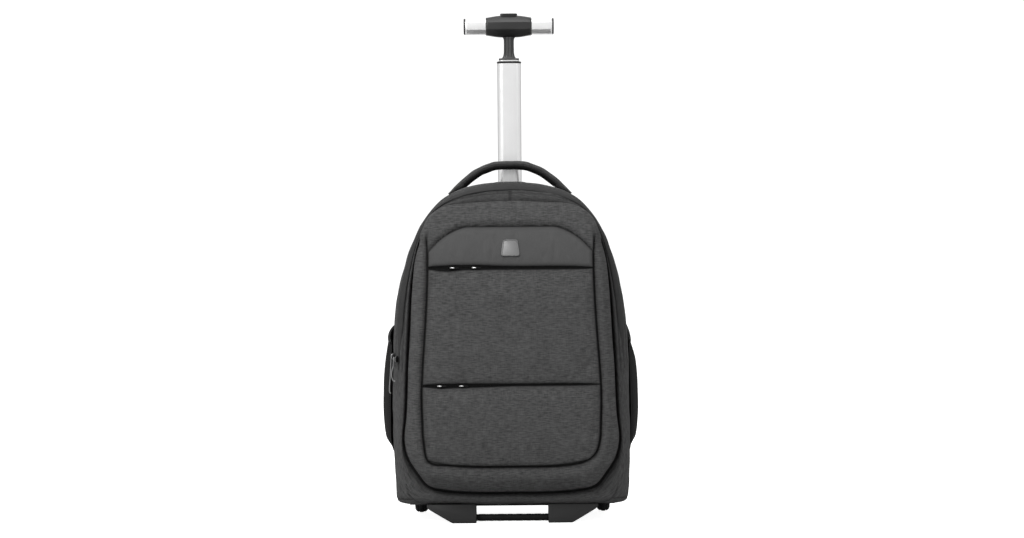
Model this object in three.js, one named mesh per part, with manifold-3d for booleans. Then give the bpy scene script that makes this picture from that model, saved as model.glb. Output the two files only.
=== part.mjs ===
// A soft two-wheeled backpack with a telescoping trolley, standing on its wheels and front foot.
// Millimetres, +Z up, the front faces -Y, +X is to the right as seen from the front.

import * as THREE from "three";
import { mergeVertices } from "three/addons/utils/BufferGeometryUtils.js";
import Module from "manifold-3d";

const wasm = await Module();
wasm.setup();

// Driving dimensions of the bag
const BASE_Z = 25; // underside of the fabric above the floor
const BAG_HEIGHT = 478; // from that underside to the top
const HALF_WIDTH = 176; // widest point of the body, without the side pockets
const BACK_Y = 88; // plane where the back panel is sewn on
const SEAM_GAP = 0.3; // between neighbouring pieces
const MAIN_WALL = 3; // foam-backed cloth of the main compartment
const FRONT_WALL = 2.5; // foam-backed cloth of the front compartment
const LOOSE_GAP = 0.6; // between curved cloth faces that lie on each other

// Front of the bag, as depths towards -Y
const SHOULDER_Y = -28; // where the side gusset starts to turn to the front
const EDGE_Y = -58; // foremost line of the main compartment
const DIVIDER_Y = -52; // front wall of the main compartment
const FRONT_UPSTAND = 5; // height of the front compartment's edge over the divider
const FRONT_RISE = 42; // how far the front compartment stands out below that edge
const FACE_CROWN = 7; // how far its face swells between the sides

// Height at a share of the bag's own height
const heightAt = (up) => BASE_Z + up * BAG_HEIGHT;

// Pockets on the face
const UPPER_ZIP_Z = heightAt(0.7335);
const LOWER_ZIP_Z = heightAt(0.376);
const UPPER_ZIP_SLOT = 5.2;
const LOWER_ZIP_SLOT = 4;
const YOKE_TOP_Z = heightAt(0.859);
const YOKE_SIDE_DROP = 0.079 * BAG_HEIGHT; // fall of the yoke's arc at its two ends
const YOKE_LEVEL = 0.52; // share of the arc's half width that is level
const YOKE_BEND = 1.75; // how its fall grows outwards
const PANEL_INSET = 3.2; // from the sewn groove to the pockets' edges
const PANEL_EDGE = 2.2; // padding at a pocket's edge
const PANEL_SWELL = 2.6; // extra padding in its middle
const ZIP_THICK = 1.3;

// Side pockets
const POCKET_BOTTOM_Z = heightAt(0.163);
const POCKET_HEM_BACK_Z = heightAt(0.542);
const POCKET_HEM_FRONT_Z = heightAt(0.496);
const POCKET_FRONT_Y = -24;
const POCKET_REAR_Y = 76;
const POCKET_BULGE = 12.8;
const POCKET_WALL = 1.6;
const HEM_RADIUS = 1.8;

// Back panel
const PANEL_THICK = 7;
const PAD_SWELL = 5;

// Wheels
const WHEEL_RADIUS = 32;
const WHEEL_WIDTH = 19;
const WHEEL_X = 139.4;
const WHEEL_Y = 76;
const TYRE_DEPTH = 7;
const AXLE_RADIUS = 3;
const AXLE_CLEARANCE = 0.3;
const WELL_CLEARANCE = 3;
const CHEEK = 4.5;
const HOUSING_FRONT_Y = 36;
const HOUSING_ROOF = 5;
const HOUSING_BOTTOM_Z = 16;

// Base tray and front foot
const TRAY_THICK = 3.7;
const FOOT_FRONT_Y = -62;
const FOOT_DEPTH = 34;
const FOOT_INNER_X = 53;
const FOOT_OUTER_X = 88;
const FOOT_TOP_X = 126;
const FOOT_BAR_RADIUS = 5.2;
const FOOT_BAR_Z = 6.6;
const FOOT_BAR_Y = -46;

// Trolley
const TROLLEY_Y = 68;
const TUBE_WIDTH = 36.2;
const TUBE_DEPTH = 19;
const TUBE_WALL = 2.2;
const TUBE_CLEARANCE = 0.4;
const HOUSING_WALL = 1.4;
const LOWER_TUBE_SHOWS = 185.3; // above the top of the bag
const LOWER_TUBE_LENGTH = 250;
const UPPER_TUBE_LENGTH = 250;
const UPPER_TUBE_WALL = 1.4;
const UPPER_SHOWS = 2.4; // how much of the upper tube shows above the lower one's collar
const COLLAR_THICK = 2.5;
const COLLAR_LIP = 0.7;
const BEZEL_LIP = 6;
const BEZEL_THICK = 3.4;
const BEZEL_NECK = 1.6; // wall of the bezel inside the slot
const BEZEL_DEPTH = 8;

// Neck and grip
const NECK_LENGTH = 34.6;
const GRIP_SPAN = 138;
const SLEEVE_DIAMETER = 24;
const CORE_RADIUS = 8;
const SHELL_LENGTH = 72;
const SHELL_HEIGHT = 33;
const SHELL_END_HEIGHT = 25.6;
const SHELL_DEPTH = 28;
const CAP_THICK = 2.2;
const BUTTON_LENGTH = 26;
const BUTTON_DEPTH = 11;
const BUTTON_STANDS = 3.4;
const BUTTON_BODY = 8.8;
const BUTTON_TRAVEL = 3;

// Carry handle
const HANDLE_Y = 20;
const HANDLE_WIDTH = 26;
const HANDLE_SPAN = 92; // half the span between the ends of its two legs
const HANDLE_RISE = 27; // its middle above the bag's top
const HANDLE_THICK = 12.4;

// Shoulder straps
const STRAP_WIDTH = 62;
const STRAP_THICK = 11;
const STRAP_BOW = 26; // how far a strap stands off the back
const WEBBING_WIDTH = 25;
const WEBBING_THICK = 1.6;

// Badge and zip pulls
const BADGE_WIDTH = 27.8; // at its lower edge
const BADGE_TOP_WIDTH = 20.8;
const BADGE_HEIGHT = 25;
const BADGE_THICK = 1.8;
const BADGE_Z = heightAt(0.792);

// Outlines seen from the front, from the bottom centre up one side to the top centre.
// up is a share of BAG_HEIGHT and out a share of HALF_WIDTH. Equal rows lie side by side.
const BODY_OUTLINE = [
  { up: 0, out: 0 },
  { up: 0, out: 0.34 },
  { up: 0, out: 0.65 },
  { up: 0.0005, out: 0.89 },
  { up: 0.01, out: 0.966 },
  { up: 0.046, out: 0.983 },
  { up: 0.136, out: 0.994 },
  { up: 0.282, out: 1 },
  { up: 0.429, out: 0.991 },
  { up: 0.561, out: 0.976 },
  { up: 0.669, out: 0.933 },
  { up: 0.77, out: 0.866 },
  { up: 0.847, out: 0.779 },
  { up: 0.906, out: 0.67 },
  { up: 0.948, out: 0.562 },
  { up: 0.975, out: 0.428 },
  { up: 0.993, out: 0.239 },
  { up: 1, out: 0 },
];
const GROOVE_OUTLINE = [
  { up: 0.038, out: 0 },
  { up: 0.038, out: 0.284 },
  { up: 0.044, out: 0.535 },
  { up: 0.058, out: 0.7 },
  { up: 0.094, out: 0.785 },
  { up: 0.146, out: 0.874 },
  { up: 0.201, out: 0.906 },
  { up: 0.282, out: 0.886 },
  { up: 0.408, out: 0.871 },
  { up: 0.533, out: 0.852 },
  { up: 0.659, out: 0.83 },
  { up: 0.759, out: 0.794 },
  { up: 0.831, out: 0.744 },
  { up: 0.883, out: 0.676 },
  { up: 0.91, out: 0.574 },
  { up: 0.926, out: 0.42 },
  { up: 0.934, out: 0.227 },
  { up: 0.937, out: 0 },
];
const FACE_OUTLINE = [
  { up: 0.126, out: 0 },
  { up: 0.126, out: 0.256 },
  { up: 0.13, out: 0.466 },
  { up: 0.142, out: 0.608 },
  { up: 0.169, out: 0.699 },
  { up: 0.211, out: 0.733 },
  { up: 0.268, out: 0.741 },
  { up: 0.345, out: 0.746 },
  { up: 0.429, out: 0.736 },
  { up: 0.554, out: 0.712 },
  { up: 0.669, out: 0.696 },
  { up: 0.764, out: 0.691 },
  { up: 0.835, out: 0.693 },
  { up: 0.881, out: 0.645 },
  { up: 0.908, out: 0.551 },
  { up: 0.924, out: 0.403 },
  { up: 0.932, out: 0.216 },
  { up: 0.935, out: 0 },
];

// How far the face stands out along the height: rise is a share of FRONT_RISE.
const FACE_PROFILE = [
  { up: 0, rise: 0.8 },
  { up: 0.126, rise: 0.88 },
  { up: 0.22, rise: 0.97 },
  { up: 0.37, rise: 1 },
  { up: 0.57, rise: 0.96 },
  { up: 0.73, rise: 0.8 },
  { up: 0.85, rise: 0.45 },
  { up: 0.91, rise: 0.17 },
  { up: 0.935, rise: 0.03 },
  { up: 1, rise: 0 },
];

// Main compartment from its back rim to the groove: along runs from BACK_Y over SHOULDER_Y to EDGE_Y,
// mix from the body's outline to the groove's.
const MAIN_PROFILE = [
  { y: BACK_Y, mix: 0.03 },
  { y: BACK_Y - 8, mix: 0 },
  { y: SHOULDER_Y, mix: 0.02 },
  { y: THREE.MathUtils.lerp(SHOULDER_Y, EDGE_Y, 0.47), mix: 0.14 },
  { y: THREE.MathUtils.lerp(SHOULDER_Y, EDGE_Y, 0.78), mix: 0.38 },
  { y: THREE.MathUtils.lerp(SHOULDER_Y, EDGE_Y, 0.96), mix: 0.66 },
  { y: EDGE_Y, mix: 0.86 },
  { y: DIVIDER_Y, mix: 1 },
];

// Gusset of the front compartment from its sewn edge to the face: mix runs from the groove's outline
// to the face's, lift is a share of the upstand, rise a share of the face's own rise.
const GROOVE_FIT = 0.98; // the sewn edge lies inside the groove, as a share of its size
const GUSSET_PROFILE = [
  { mix: 0, lift: 0, rise: 0 },
  { mix: 0.02, lift: 0.8, rise: 0.06 },
  { mix: 0.16, lift: 1, rise: 0.46 },
  { mix: 0.5, lift: 1, rise: 0.86 },
  { mix: 1, lift: 1, rise: 0.97 },
];

const OUTLINE_STEPS = 46; // points round each outline
const lerp = THREE.MathUtils.lerp;
const clamp = THREE.MathUtils.clamp;

// Materials
const finish = (color, roughness, metalness = 0) =>
  new THREE.MeshStandardMaterial({ color, roughness, metalness });
const MATERIAL = {
  heather: finish(0x55565a, 0.9),
  smooth: finish(0x4c4d50, 0.75),
  mesh: finish(0x26272a, 0.95),
  plastic: finish(0x38393c, 0.5),
  dark: finish(0x1b1c1e, 0.45),
  rubber: finish(0x151617, 0.8),
  silver: finish(0xd9dadc, 0.3, 0.9),
  gunmetal: finish(0x7c7e82, 0.35, 0.8),
  webbing: finish(0x2b2c2f, 0.85),
};

// Smooth value of a table's column at a share of its key column.
function along(rows, key, column, at) {
  const last = rows.length - 1;
  let i = rows.findIndex((row) => row[key] > at) - 1;
  if (i < -1) i = last - 1;
  i = clamp(i, 0, last - 1);
  const slope = (k) => {
    const a = rows[Math.max(k - 1, 0)];
    const b = rows[Math.min(k + 1, last)];
    return (b[column] - a[column]) / (b[key] - a[key]);
  };
  const span = rows[i + 1][key] - rows[i][key];
  const t = clamp((at - rows[i][key]) / span, 0, 1);
  const h = (a, b, c, d) => a * t ** 3 + b * t ** 2 + c * t + d;
  return (
    h(2, -3, 0, 1) * rows[i][column] +
    h(1, -2, 1, 0) * span * slope(i) +
    h(-2, 3, 0, 0) * rows[i + 1][column] +
    h(1, -1, 0, 0) * span * slope(i + 1)
  );
}

// The closed outline of a table, as points (x, z) anticlockwise seen from the front.
function outline(rows, steps = OUTLINE_STEPS) {
  const right = rows.map(
    ({ up, out }) => new THREE.Vector3(out * HALF_WIDTH, 0, heightAt(up)),
  );
  const left = right
    .slice(1, -1)
    .reverse()
    .map((p) => new THREE.Vector3(-p.x, 0, p.z));
  const curve = new THREE.CatmullRomCurve3([...right, ...left], true, "centripetal");
  return Array.from({ length: steps }, (_, i) => curve.getPoint(i / steps));
}

const BODY = outline(BODY_OUTLINE);
const GROOVE = outline(GROOVE_OUTLINE);
const FACE = outline(FACE_OUTLINE);

// Half width of an outline at a height.
function halfWidth(ring, z) {
  for (let i = 0; i < ring.length / 2; i++) {
    const a = ring[i];
    const b = ring[i + 1];
    if (b.z > a.z && z >= a.z && z <= b.z) return lerp(a.x, b.x, (z - a.z) / (b.z - a.z));
  }
  return 0;
}

// Height of an outline's upper side at a distance from its centre.
function topHeight(ring, x) {
  for (let i = Math.floor(ring.length / 4); i < ring.length / 2; i++) {
    const a = ring[i];
    const b = ring[i + 1];
    if (Math.abs(x) <= a.x && Math.abs(x) >= b.x) {
      return lerp(a.z, b.z, (a.x - Math.abs(x)) / (a.x - b.x));
    }
  }
  return ring[Math.round(ring.length / 2)].z;
}

// How far the face stands out over the front compartment's edge.
function faceRise(x, z) {
  const up = (z - BASE_Z) / BAG_HEIGHT;
  const across = clamp(Math.abs(x) / (HALF_WIDTH * 0.74), 0, 1);
  const swell = Math.sin(Math.PI * clamp((up - 0.06) / 0.88, 0, 1));
  return FRONT_RISE * along(FACE_PROFILE, "up", "rise", up) + FACE_CROWN * swell * (1 - across ** 2);
}

// The face of the front compartment at a place seen from the front.
function faceY(x, z) {
  return DIVIDER_Y - SEAM_GAP - FRONT_UPSTAND - GUSSET_PROFILE.at(-1).rise * faceRise(x, z);
}

// Rings between two outlines, each at its own depth.
function ringBetween(a, b, mix, depthAt) {
  return a.map((p, i) => {
    const q = p.clone().lerp(b[i], mix);
    q.y = depthAt(b[i]);
    return q;
  });
}

// Rings that shrink an outline towards its centre, to close a face.
function ringsInward(ring, shares, depthAt) {
  const centre = new THREE.Vector3(0, 0, (ring[0].z + ring[Math.round(ring.length / 2)].z) / 2);
  const rings = shares.map((share) =>
    ring.map((p) => {
      const q = centre.clone().lerp(p, share);
      q.y = depthAt(q.x, q.z);
      return q;
    }),
  );
  centre.y = depthAt(centre.x, centre.z);
  return { rings, centre };
}

// A sheet is its points and triangles, anticlockwise seen from outside.
function cupSheet(rings, pole) {
  const around = rings[0].length;
  const points = [...rings.flat(), pole];
  const faces = [];
  const at = (r, i) => r * around + (i % around);
  for (let i = 0; i < around; i++) {
    for (let r = 0; r + 1 < rings.length; r++) {
      faces.push([at(r, i), at(r, i + 1), at(r + 1, i + 1)], [at(r, i), at(r + 1, i + 1), at(r + 1, i)]);
    }
    faces.push([at(rings.length - 1, i), at(rings.length - 1, i + 1), points.length - 1]);
  }
  return { points, faces };
}

function gridSheet(rows) {
  const across = rows[0].length;
  const points = rows.flat();
  const faces = [];
  for (let r = 0; r + 1 < rows.length; r++) {
    for (let i = 0; i + 1 < across; i++) {
      const a = r * across + i;
      faces.push([a, a + 1, a + across + 1], [a, a + across + 1, a + across]);
    }
  }
  return { points, faces };
}

function geometryOf(points, faces) {
  return new THREE.BufferGeometry()
    .setAttribute("position", new THREE.Float32BufferAttribute(points.flatMap((p) => p.toArray()), 3))
    .setIndex(faces.flat());
}

// A closed body from a sheet and its copy, moved by a function of point, normal and index.
function thicken({ points, faces }, moved) {
  const normals = points.map(() => new THREE.Vector3());
  for (const [a, b, c] of faces) {
    const n = points[b].clone().sub(points[a]).cross(points[c].clone().sub(points[a]));
    for (const i of [a, b, c]) normals[i].add(n);
  }
  const inner = points.map((p, i) => moved(p, normals[i].normalize(), i));
  const count = points.length;
  const edges = new Map();
  for (const f of faces) f.forEach((a, i) => edges.set(`${a},${f[(i + 1) % 3]}`, [a, f[(i + 1) % 3]]));
  const rim = [...edges.values()].filter(([a, b]) => !edges.has(`${b},${a}`));
  return geometryOf(
    [...points, ...inner],
    [
      ...faces,
      ...faces.map(([a, b, c]) => [c + count, b + count, a + count]),
      ...rim.flatMap(([a, b]) => [
        [b, a, a + count],
        [b, a + count, b + count],
      ]),
    ],
  );
}

const inwards = (wall) => (p, n) => p.clone().addScaledVector(n, -wall);

function centreOf(ring) {
  return ring.reduce((sum, p) => sum.add(p), new THREE.Vector3()).divideScalar(ring.length);
}

// A closed body through rings of equal length, each end closed to one point.
function loft(rings, start = centreOf(rings[0]), end = centreOf(rings.at(-1))) {
  const around = rings[0].length;
  const sheet = cupSheet(rings, end);
  const first = sheet.points.push(start) - 1;
  for (let i = 0; i < around; i++) sheet.faces.push([(i + 1) % around, i, first]);
  const made = geometryOf(sheet.points, sheet.faces);
  return solid(made).volume() < 0 ? turned(made) : made;
}

// The same body with its faces turned the other way round.
function turned(geometry) {
  const index = Array.from(geometry.index.array);
  for (let i = 0; i < index.length; i += 3) [index[i], index[i + 1]] = [index[i + 1], index[i]];
  return geometry.clone().setIndex(index);
}

function mirrored(geometry) {
  const merged = mergeVertices(withoutExtras(geometry), 1e-4);
  return turned(merged.scale(-1, 1, 1));
}

function withoutExtras(geometry) {
  const plain = geometry.clone();
  plain.deleteAttribute("normal");
  plain.deleteAttribute("uv");
  return plain;
}

function solid(geometry) {
  const merged = mergeVertices(withoutExtras(geometry), 1e-4);
  return new wasm.Manifold(
    new wasm.Mesh({
      numProp: 3,
      vertProperties: merged.attributes.position.array,
      triVerts: new Uint32Array(merged.index.array),
    }),
  );
}

function geometryFrom(made) {
  const { numProp, vertProperties, triVerts } = made.getMesh();
  const position = new Float32Array((vertProperties.length / numProp) * 3);
  for (let i = 0; i < position.length / 3; i++) {
    position.set(vertProperties.subarray(i * numProp, i * numProp + 3), i * 3);
  }
  return new THREE.BufferGeometry()
    .setAttribute("position", new THREE.BufferAttribute(position, 3))
    .setIndex(new THREE.BufferAttribute(triVerts, 1));
}

const cut = (geometry, ...tools) =>
  geometryFrom(tools.reduce((body, tool) => body.subtract(solid(tool)), solid(geometry)));
const joined = (geometry, ...others) =>
  geometryFrom(others.reduce((body, other) => body.add(solid(other)), solid(geometry)));

// A box given by its two corners.
function block(low, high) {
  const size = high.map((v, i) => v - low[i]);
  const middle = high.map((v, i) => (v + low[i]) / 2);
  return new THREE.BoxGeometry(...size).translate(...middle);
}

// A flat shape with round ends or corners, centred, for extruding.
function roundedShape(width, depth, radius) {
  const r = Math.min(radius, width / 2 - 0.01, depth / 2 - 0.01);
  const x = width / 2 - r;
  const y = depth / 2 - r;
  return new THREE.Shape()
    .absarc(x, -y, r, -Math.PI / 2, 0)
    .absarc(x, y, r, 0, Math.PI / 2)
    .absarc(-x, y, r, Math.PI / 2, Math.PI)
    .absarc(-x, -y, r, Math.PI, 1.5 * Math.PI);
}

// A post of that section from one height to another.
function post(shape, low, high, curveSegments = 2) {
  return new THREE.ExtrudeGeometry(shape, {
    depth: high - low,
    bevelEnabled: false,
    curveSegments,
  }).translate(0, 0, low);
}

function ringShape(outer, inner) {
  outer.holes.push(inner);
  return outer;
}

// A flat section swept along stations { at, side, width, thick }: side is the width's direction.
function sweep(stations, sides = 10, square = 0.6) {
  const rings = stations.map(({ at, side, width, thick }, i) => {
    const before = stations[Math.max(i - 1, 0)].at;
    const after = stations[Math.min(i + 1, stations.length - 1)].at;
    const way = after.clone().sub(before).normalize();
    const across = side.clone().addScaledVector(way, -side.dot(way)).normalize();
    const off = way.clone().cross(across);
    return Array.from({ length: sides }, (_, k) => {
      const a = (2 * Math.PI * (k + 0.5)) / sides;
      const round = (v) => Math.sign(v) * Math.abs(v) ** square;
      return at
        .clone()
        .addScaledVector(across, (width / 2) * round(Math.cos(a)))
        .addScaledVector(off, (thick / 2) * round(Math.sin(a)));
    });
  });
  return loft(rings);
}

const bag = new THREE.Group();

function groupAt(parent, x, y, z) {
  const group = new THREE.Group();
  group.position.set(x, y, z);
  parent.add(group);
  return group;
}

const trolley = groupAt(bag, 0, TROLLEY_Y, 0);
const wheels = {
  right: groupAt(bag, WHEEL_X, WHEEL_Y, WHEEL_RADIUS),
  left: groupAt(bag, -WHEEL_X, WHEEL_Y, WHEEL_RADIUS),
};

function piece(name, geometry, material, parent = bag) {
  const mesh = new THREE.Mesh(geometry, material.clone());
  mesh.name = name;
  parent.add(mesh);
  return mesh;
}

// Places of the hard pieces that soft ones make room for
const wellHalf = WHEEL_WIDTH / 2 + 2;
const housingHalf = wellHalf + CHEEK;
const housingTopZ = WHEEL_RADIUS + WHEEL_RADIUS + WELL_CLEARANCE + HOUSING_ROOF;
const housingBackY = BACK_Y + PANEL_THICK;
const slotWidth = TUBE_WIDTH + 2 * (TUBE_CLEARANCE + HOUSING_WALL);
const slotDepth = TUBE_DEPTH + 2 * (TUBE_CLEARANCE + HOUSING_WALL);
const bagTopZ = heightAt(1);
const roomBackY = housingBackY + 3 * PAD_SWELL; // well behind the swollen back
const SLOT_FROM_Z = bagTopZ - 60; // the trolley's slot reaches through the top of the cloth
const SLOT_TO_Z = bagTopZ + 30;

function wheelRoom(side) {
  const x = side * WHEEL_X;
  return block(
    [x - housingHalf - SEAM_GAP, HOUSING_FRONT_Y - SEAM_GAP, 0],
    [x + housingHalf + SEAM_GAP, roomBackY, housingTopZ + SEAM_GAP],
  );
}

function trolleySlot(margin) {
  const shape = roundedShape(slotWidth + 2 * margin, slotDepth + 2 * margin, slotDepth / 2);
  return post(shape, SLOT_FROM_Z, SLOT_TO_Z).translate(0, TROLLEY_Y, 0);
}

function mainCompartment() {
  const rings = MAIN_PROFILE.map(({ y, mix }) => ringBetween(BODY, GROOVE, mix, () => y));
  const { centre } = ringsInward(GROOVE, [], () => DIVIDER_Y);
  const shell = thicken(cupSheet(rings, centre), inwards(MAIN_WALL));
  return cut(
    shell,
    wheelRoom(-1),
    wheelRoom(1),
    trolleySlot(BEZEL_NECK + 2 * SEAM_GAP),
  );
}

function frontCompartment() {
  const base = DIVIDER_Y - SEAM_GAP;
  const edge = ringsInward(GROOVE, [GROOVE_FIT], () => base).rings[0];
  const rings = GUSSET_PROFILE.map(({ mix, lift, rise }) =>
    ringBetween(edge, FACE, mix, (p) => base - lift * FRONT_UPSTAND - rise * faceRise(p.x, p.z)),
  );
  const face = ringsInward(FACE, [0.75, 0.4], faceY);
  const sheet = cupSheet([...rings, ...face.rings], face.centre);
  const keepClear = (p, n) => {
    const q = p.clone().addScaledVector(n, -FRONT_WALL);
    q.y = Math.min(q.y, base);
    return q;
  };
  return thicken(sheet, keepClear);
}

// A padded cloth panel on the face: rows from bottom to top, columns from left to right.
function facePanel({ bottom, top, rows, columns, edge = PANEL_EDGE, swell = PANEL_SWELL }) {
  const sheetRows = [];
  const heights = [];
  for (let r = 0; r <= rows; r++) {
    const v = r / rows;
    const line = [];
    for (let c = 0; c <= columns; c++) {
      const u = (2 * c) / columns - 1;
      const z = lerp(bottom(u), top(u), v);
      const x = u * (halfWidth(FACE, z) - PANEL_INSET);
      const pad = edge + swell * Math.sqrt((1 - u ** 4) * (1 - (2 * v - 1) ** 4));
      line.push(new THREE.Vector3(x, faceY(x, z) - LOOSE_GAP - pad, z));
      heights.push(pad);
    }
    sheetRows.push(line);
  }
  return thicken(gridSheet(sheetRows), (p, n, i) => p.clone().setY(p.y + heights[i]));
}

const level = (z) => () => z;

// The yoke's arc: level in the middle, falling to both sides.
function yokeArc(u) {
  const fall = clamp((Math.abs(u) - YOKE_LEVEL) / (1 - YOKE_LEVEL), 0, 1);
  return YOKE_TOP_Z - YOKE_SIDE_DROP * fall ** YOKE_BEND;
}

const faceBottomZ = FACE[0].z;

piece("main_compartment", mainCompartment(), MATERIAL.heather);
piece("front_compartment", frontCompartment(), MATERIAL.heather);
piece(
  "yoke",
  facePanel({ bottom: level(UPPER_ZIP_Z + UPPER_ZIP_SLOT / 2), top: yokeArc, rows: 4, columns: 14 }),
  MATERIAL.smooth,
);
piece(
  "pocket_upper",
  facePanel({
    bottom: level(LOWER_ZIP_Z + LOWER_ZIP_SLOT / 2),
    top: level(UPPER_ZIP_Z - UPPER_ZIP_SLOT / 2),
    rows: 6,
    columns: 10,
  }),
  MATERIAL.heather,
);
piece(
  "pocket_lower",
  facePanel({
    bottom: (u) => faceBottomZ + PANEL_INSET + 9 * Math.abs(u) ** 6,
    top: level(LOWER_ZIP_Z - LOWER_ZIP_SLOT / 2),
    rows: 6,
    columns: 10,
  }),
  MATERIAL.heather,
);

// A zip tape in the slot between two panels.
function faceZip(z, slot) {
  return facePanel({
    bottom: level(z - slot / 2 + SEAM_GAP),
    top: level(z + slot / 2 - SEAM_GAP),
    edge: ZIP_THICK,
    swell: 0,
    rows: 1,
    columns: 12,
  });
}

piece("zip_upper", faceZip(UPPER_ZIP_Z, UPPER_ZIP_SLOT), MATERIAL.dark);
piece("zip_lower", faceZip(LOWER_ZIP_Z, LOWER_ZIP_SLOT), MATERIAL.dark);

// Sliders on the two face zips, at shares of HALF_WIDTH
const SLIDER_SIZE = { length: 9, thick: 3, height: 3.4 };
const FACE_SLIDERS = [
  { name: "slider_upper_1", out: -0.48, z: UPPER_ZIP_Z },
  { name: "slider_upper_2", out: -0.3, z: UPPER_ZIP_Z },
  { name: "slider_lower_1", out: -0.59, z: LOWER_ZIP_Z },
  { name: "slider_lower_2", out: -0.41, z: LOWER_ZIP_Z },
];
for (const { name, out, z } of FACE_SLIDERS) {
  const { length, thick, height } = SLIDER_SIZE;
  const x = out * HALF_WIDTH;
  const back = faceY(x, z) - LOOSE_GAP - ZIP_THICK - SEAM_GAP;
  const body = new THREE.CylinderGeometry(height / 2, height / 2, length, 8);
  body.rotateZ(Math.PI / 2).scale(1, thick / height, 1).translate(x, back - thick / 2, z);
  piece(name, body, MATERIAL.gunmetal);
}

// Main zip over the arch of the main compartment, from one flank to the other
const ZIP_END_UP = 0.43; // where it ends on each flank, as a share of BAG_HEIGHT
const ZIP_WIDTH = 10;
const ZIP_TOP_WIDTH = 15; // over the arch
const ZIP_THICKNESS = 1.6;
const ZIP_STANDS = 3.1; // its middle over the cloth below
const ZIP_STEPS = 32;

// The main compartment's outside at a place round the outline and along its profile.
function mainPoint(turn, mix) {
  const at = (ring) => {
    const k = turn * ring.length;
    return ring[Math.floor(k) % ring.length].clone().lerp(ring[Math.ceil(k) % ring.length], k % 1);
  };
  const row = MAIN_PROFILE.slice(2).findLastIndex((r) => r.mix <= mix) + 2;
  const a = MAIN_PROFILE[row];
  const b = MAIN_PROFILE[Math.min(row + 1, MAIN_PROFILE.length - 1)];
  const share = b.mix > a.mix ? (mix - a.mix) / (b.mix - a.mix) : 0;
  const p = at(BODY).lerp(at(GROOVE), mix);
  p.y = lerp(a.y, b.y, share);
  return p;
}

function mainNormal(turn, mix) {
  const step = 0.01;
  const along = mainPoint(turn + step, mix).sub(mainPoint(turn - step, mix));
  const forwards = mainPoint(turn, mix + step).sub(mainPoint(turn, mix - step));
  return along.cross(forwards).normalize();
}

// The zip runs near the back edge of the turn over the arch and nearer the groove on the flanks.
function zipMix(turn) {
  const fromTop = Math.abs(turn - 0.5) * 4;
  return lerp(0.24, 0.44, THREE.MathUtils.smoothstep(fromTop, 0.1, 0.75));
}

function zipWidth(turn) {
  const fromTop = Math.abs(turn - 0.5) * 4;
  return lerp(ZIP_TOP_WIDTH, ZIP_WIDTH, THREE.MathUtils.smoothstep(fromTop, 0.15, 0.6));
}

// Place round the body's outline where its right side reaches a height.
function turnAt(up) {
  const height = heightAt(up);
  const i = BODY.findIndex((p) => p.z > height);
  return (i - (BODY[i].z - height) / (BODY[i].z - BODY[i - 1].z)) / BODY.length;
}

function mainZip() {
  const start = turnAt(ZIP_END_UP);
  const stations = Array.from({ length: ZIP_STEPS + 1 }, (_, i) => {
    const turn = lerp(start, 1 - start, i / ZIP_STEPS);
    const mix = zipMix(turn);
    const normal = mainNormal(turn, mix);
    const forwards = mainPoint(turn, mix + 0.05).sub(mainPoint(turn, mix - 0.05));
    return {
      at: mainPoint(turn, mix).addScaledVector(normal, ZIP_STANDS),
      side: forwards,
      width: zipWidth(turn),
      thick: ZIP_THICKNESS,
    };
  });
  return sweep(stations, 4, 0);
}
piece("zip_main", mainZip(), MATERIAL.smooth);

// Two sliders side by side on one flank, each with a wire pull hanging down: the front one on the zip,
// the rear one on the cloth behind it. mix is a place between the two outlines, stands a height over
// the cloth, ride the height of a pull's wire over its slider and slant how far a pull leans outwards.
const MAIN_SLIDERS = [
  { name: "slider_main_front", up: 0.463, mix: 0.44, stands: 4.1, pull: 38, ride: 3.7, slant: 0.06 },
  { name: "slider_main_rear", up: 0.463, mix: 0.13, stands: 0.8, pull: 60, ride: 1.85, slant: 0.06 },
];
const MAIN_SLIDER = { length: 10, width: 7, thick: 3.2 };
const PULL_WIDTH = 6;
const PULL_WIRE = 1.1;

function placed(geometry, xWay, yWay, zWay, at) {
  return geometry.applyMatrix4(new THREE.Matrix4().makeBasis(xWay, yWay, zWay).setPosition(at));
}

for (const { name, up, mix, stands, pull, ride, slant } of MAIN_SLIDERS) {
  const turn = 1 - turnAt(up);
  const out = mainNormal(turn, mix);
  const way = mainPoint(turn + 0.01, mix).sub(mainPoint(turn - 0.01, mix)).normalize();
  const across = out.clone().cross(way).normalize();
  const { length, width, thick } = MAIN_SLIDER;
  const at = mainPoint(turn, mix).addScaledVector(out, stands + thick / 2);
  const shape = roundedShape(length, width, 2.4);
  piece(name, placed(post(shape, -thick / 2, thick / 2, 1), way, across, out, at), MATERIAL.gunmetal);

  const halfLoop = pull / 2 - PULL_WIDTH / 2;
  const loop = new THREE.CatmullRomCurve3(
    Array.from({ length: 12 }, (_, i) => {
      const a = (2 * Math.PI * (i + 0.5)) / 12;
      const end = halfLoop * Math.sign(Math.sin(a));
      return new THREE.Vector3(Math.cos(a), 0, Math.sin(a))
        .multiplyScalar(PULL_WIDTH / 2)
        .add(new THREE.Vector3(0, 0, end));
    }),
    true,
  );
  const wire = new THREE.TubeGeometry(loop, 16, PULL_WIRE, 5, true);
  const hang = at.clone().addScaledVector(out, thick / 2 + ride);
  const top = hang.z + PULL_WIDTH / 2;
  const foot = new THREE.Vector3(hang.x - slant * pull, hang.y, top - pull);
  const lean = hang.clone().sub(foot).normalize();
  const forwards = new THREE.Vector3(0, 1, 0);
  const flat = lean.clone().cross(forwards).normalize();
  const centre = hang.clone().addScaledVector(lean, PULL_WIDTH / 2 - pull / 2);
  piece(name.replace("slider", "pull"), placed(wire, forwards, flat, lean, centre), MATERIAL.gunmetal);
}

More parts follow.
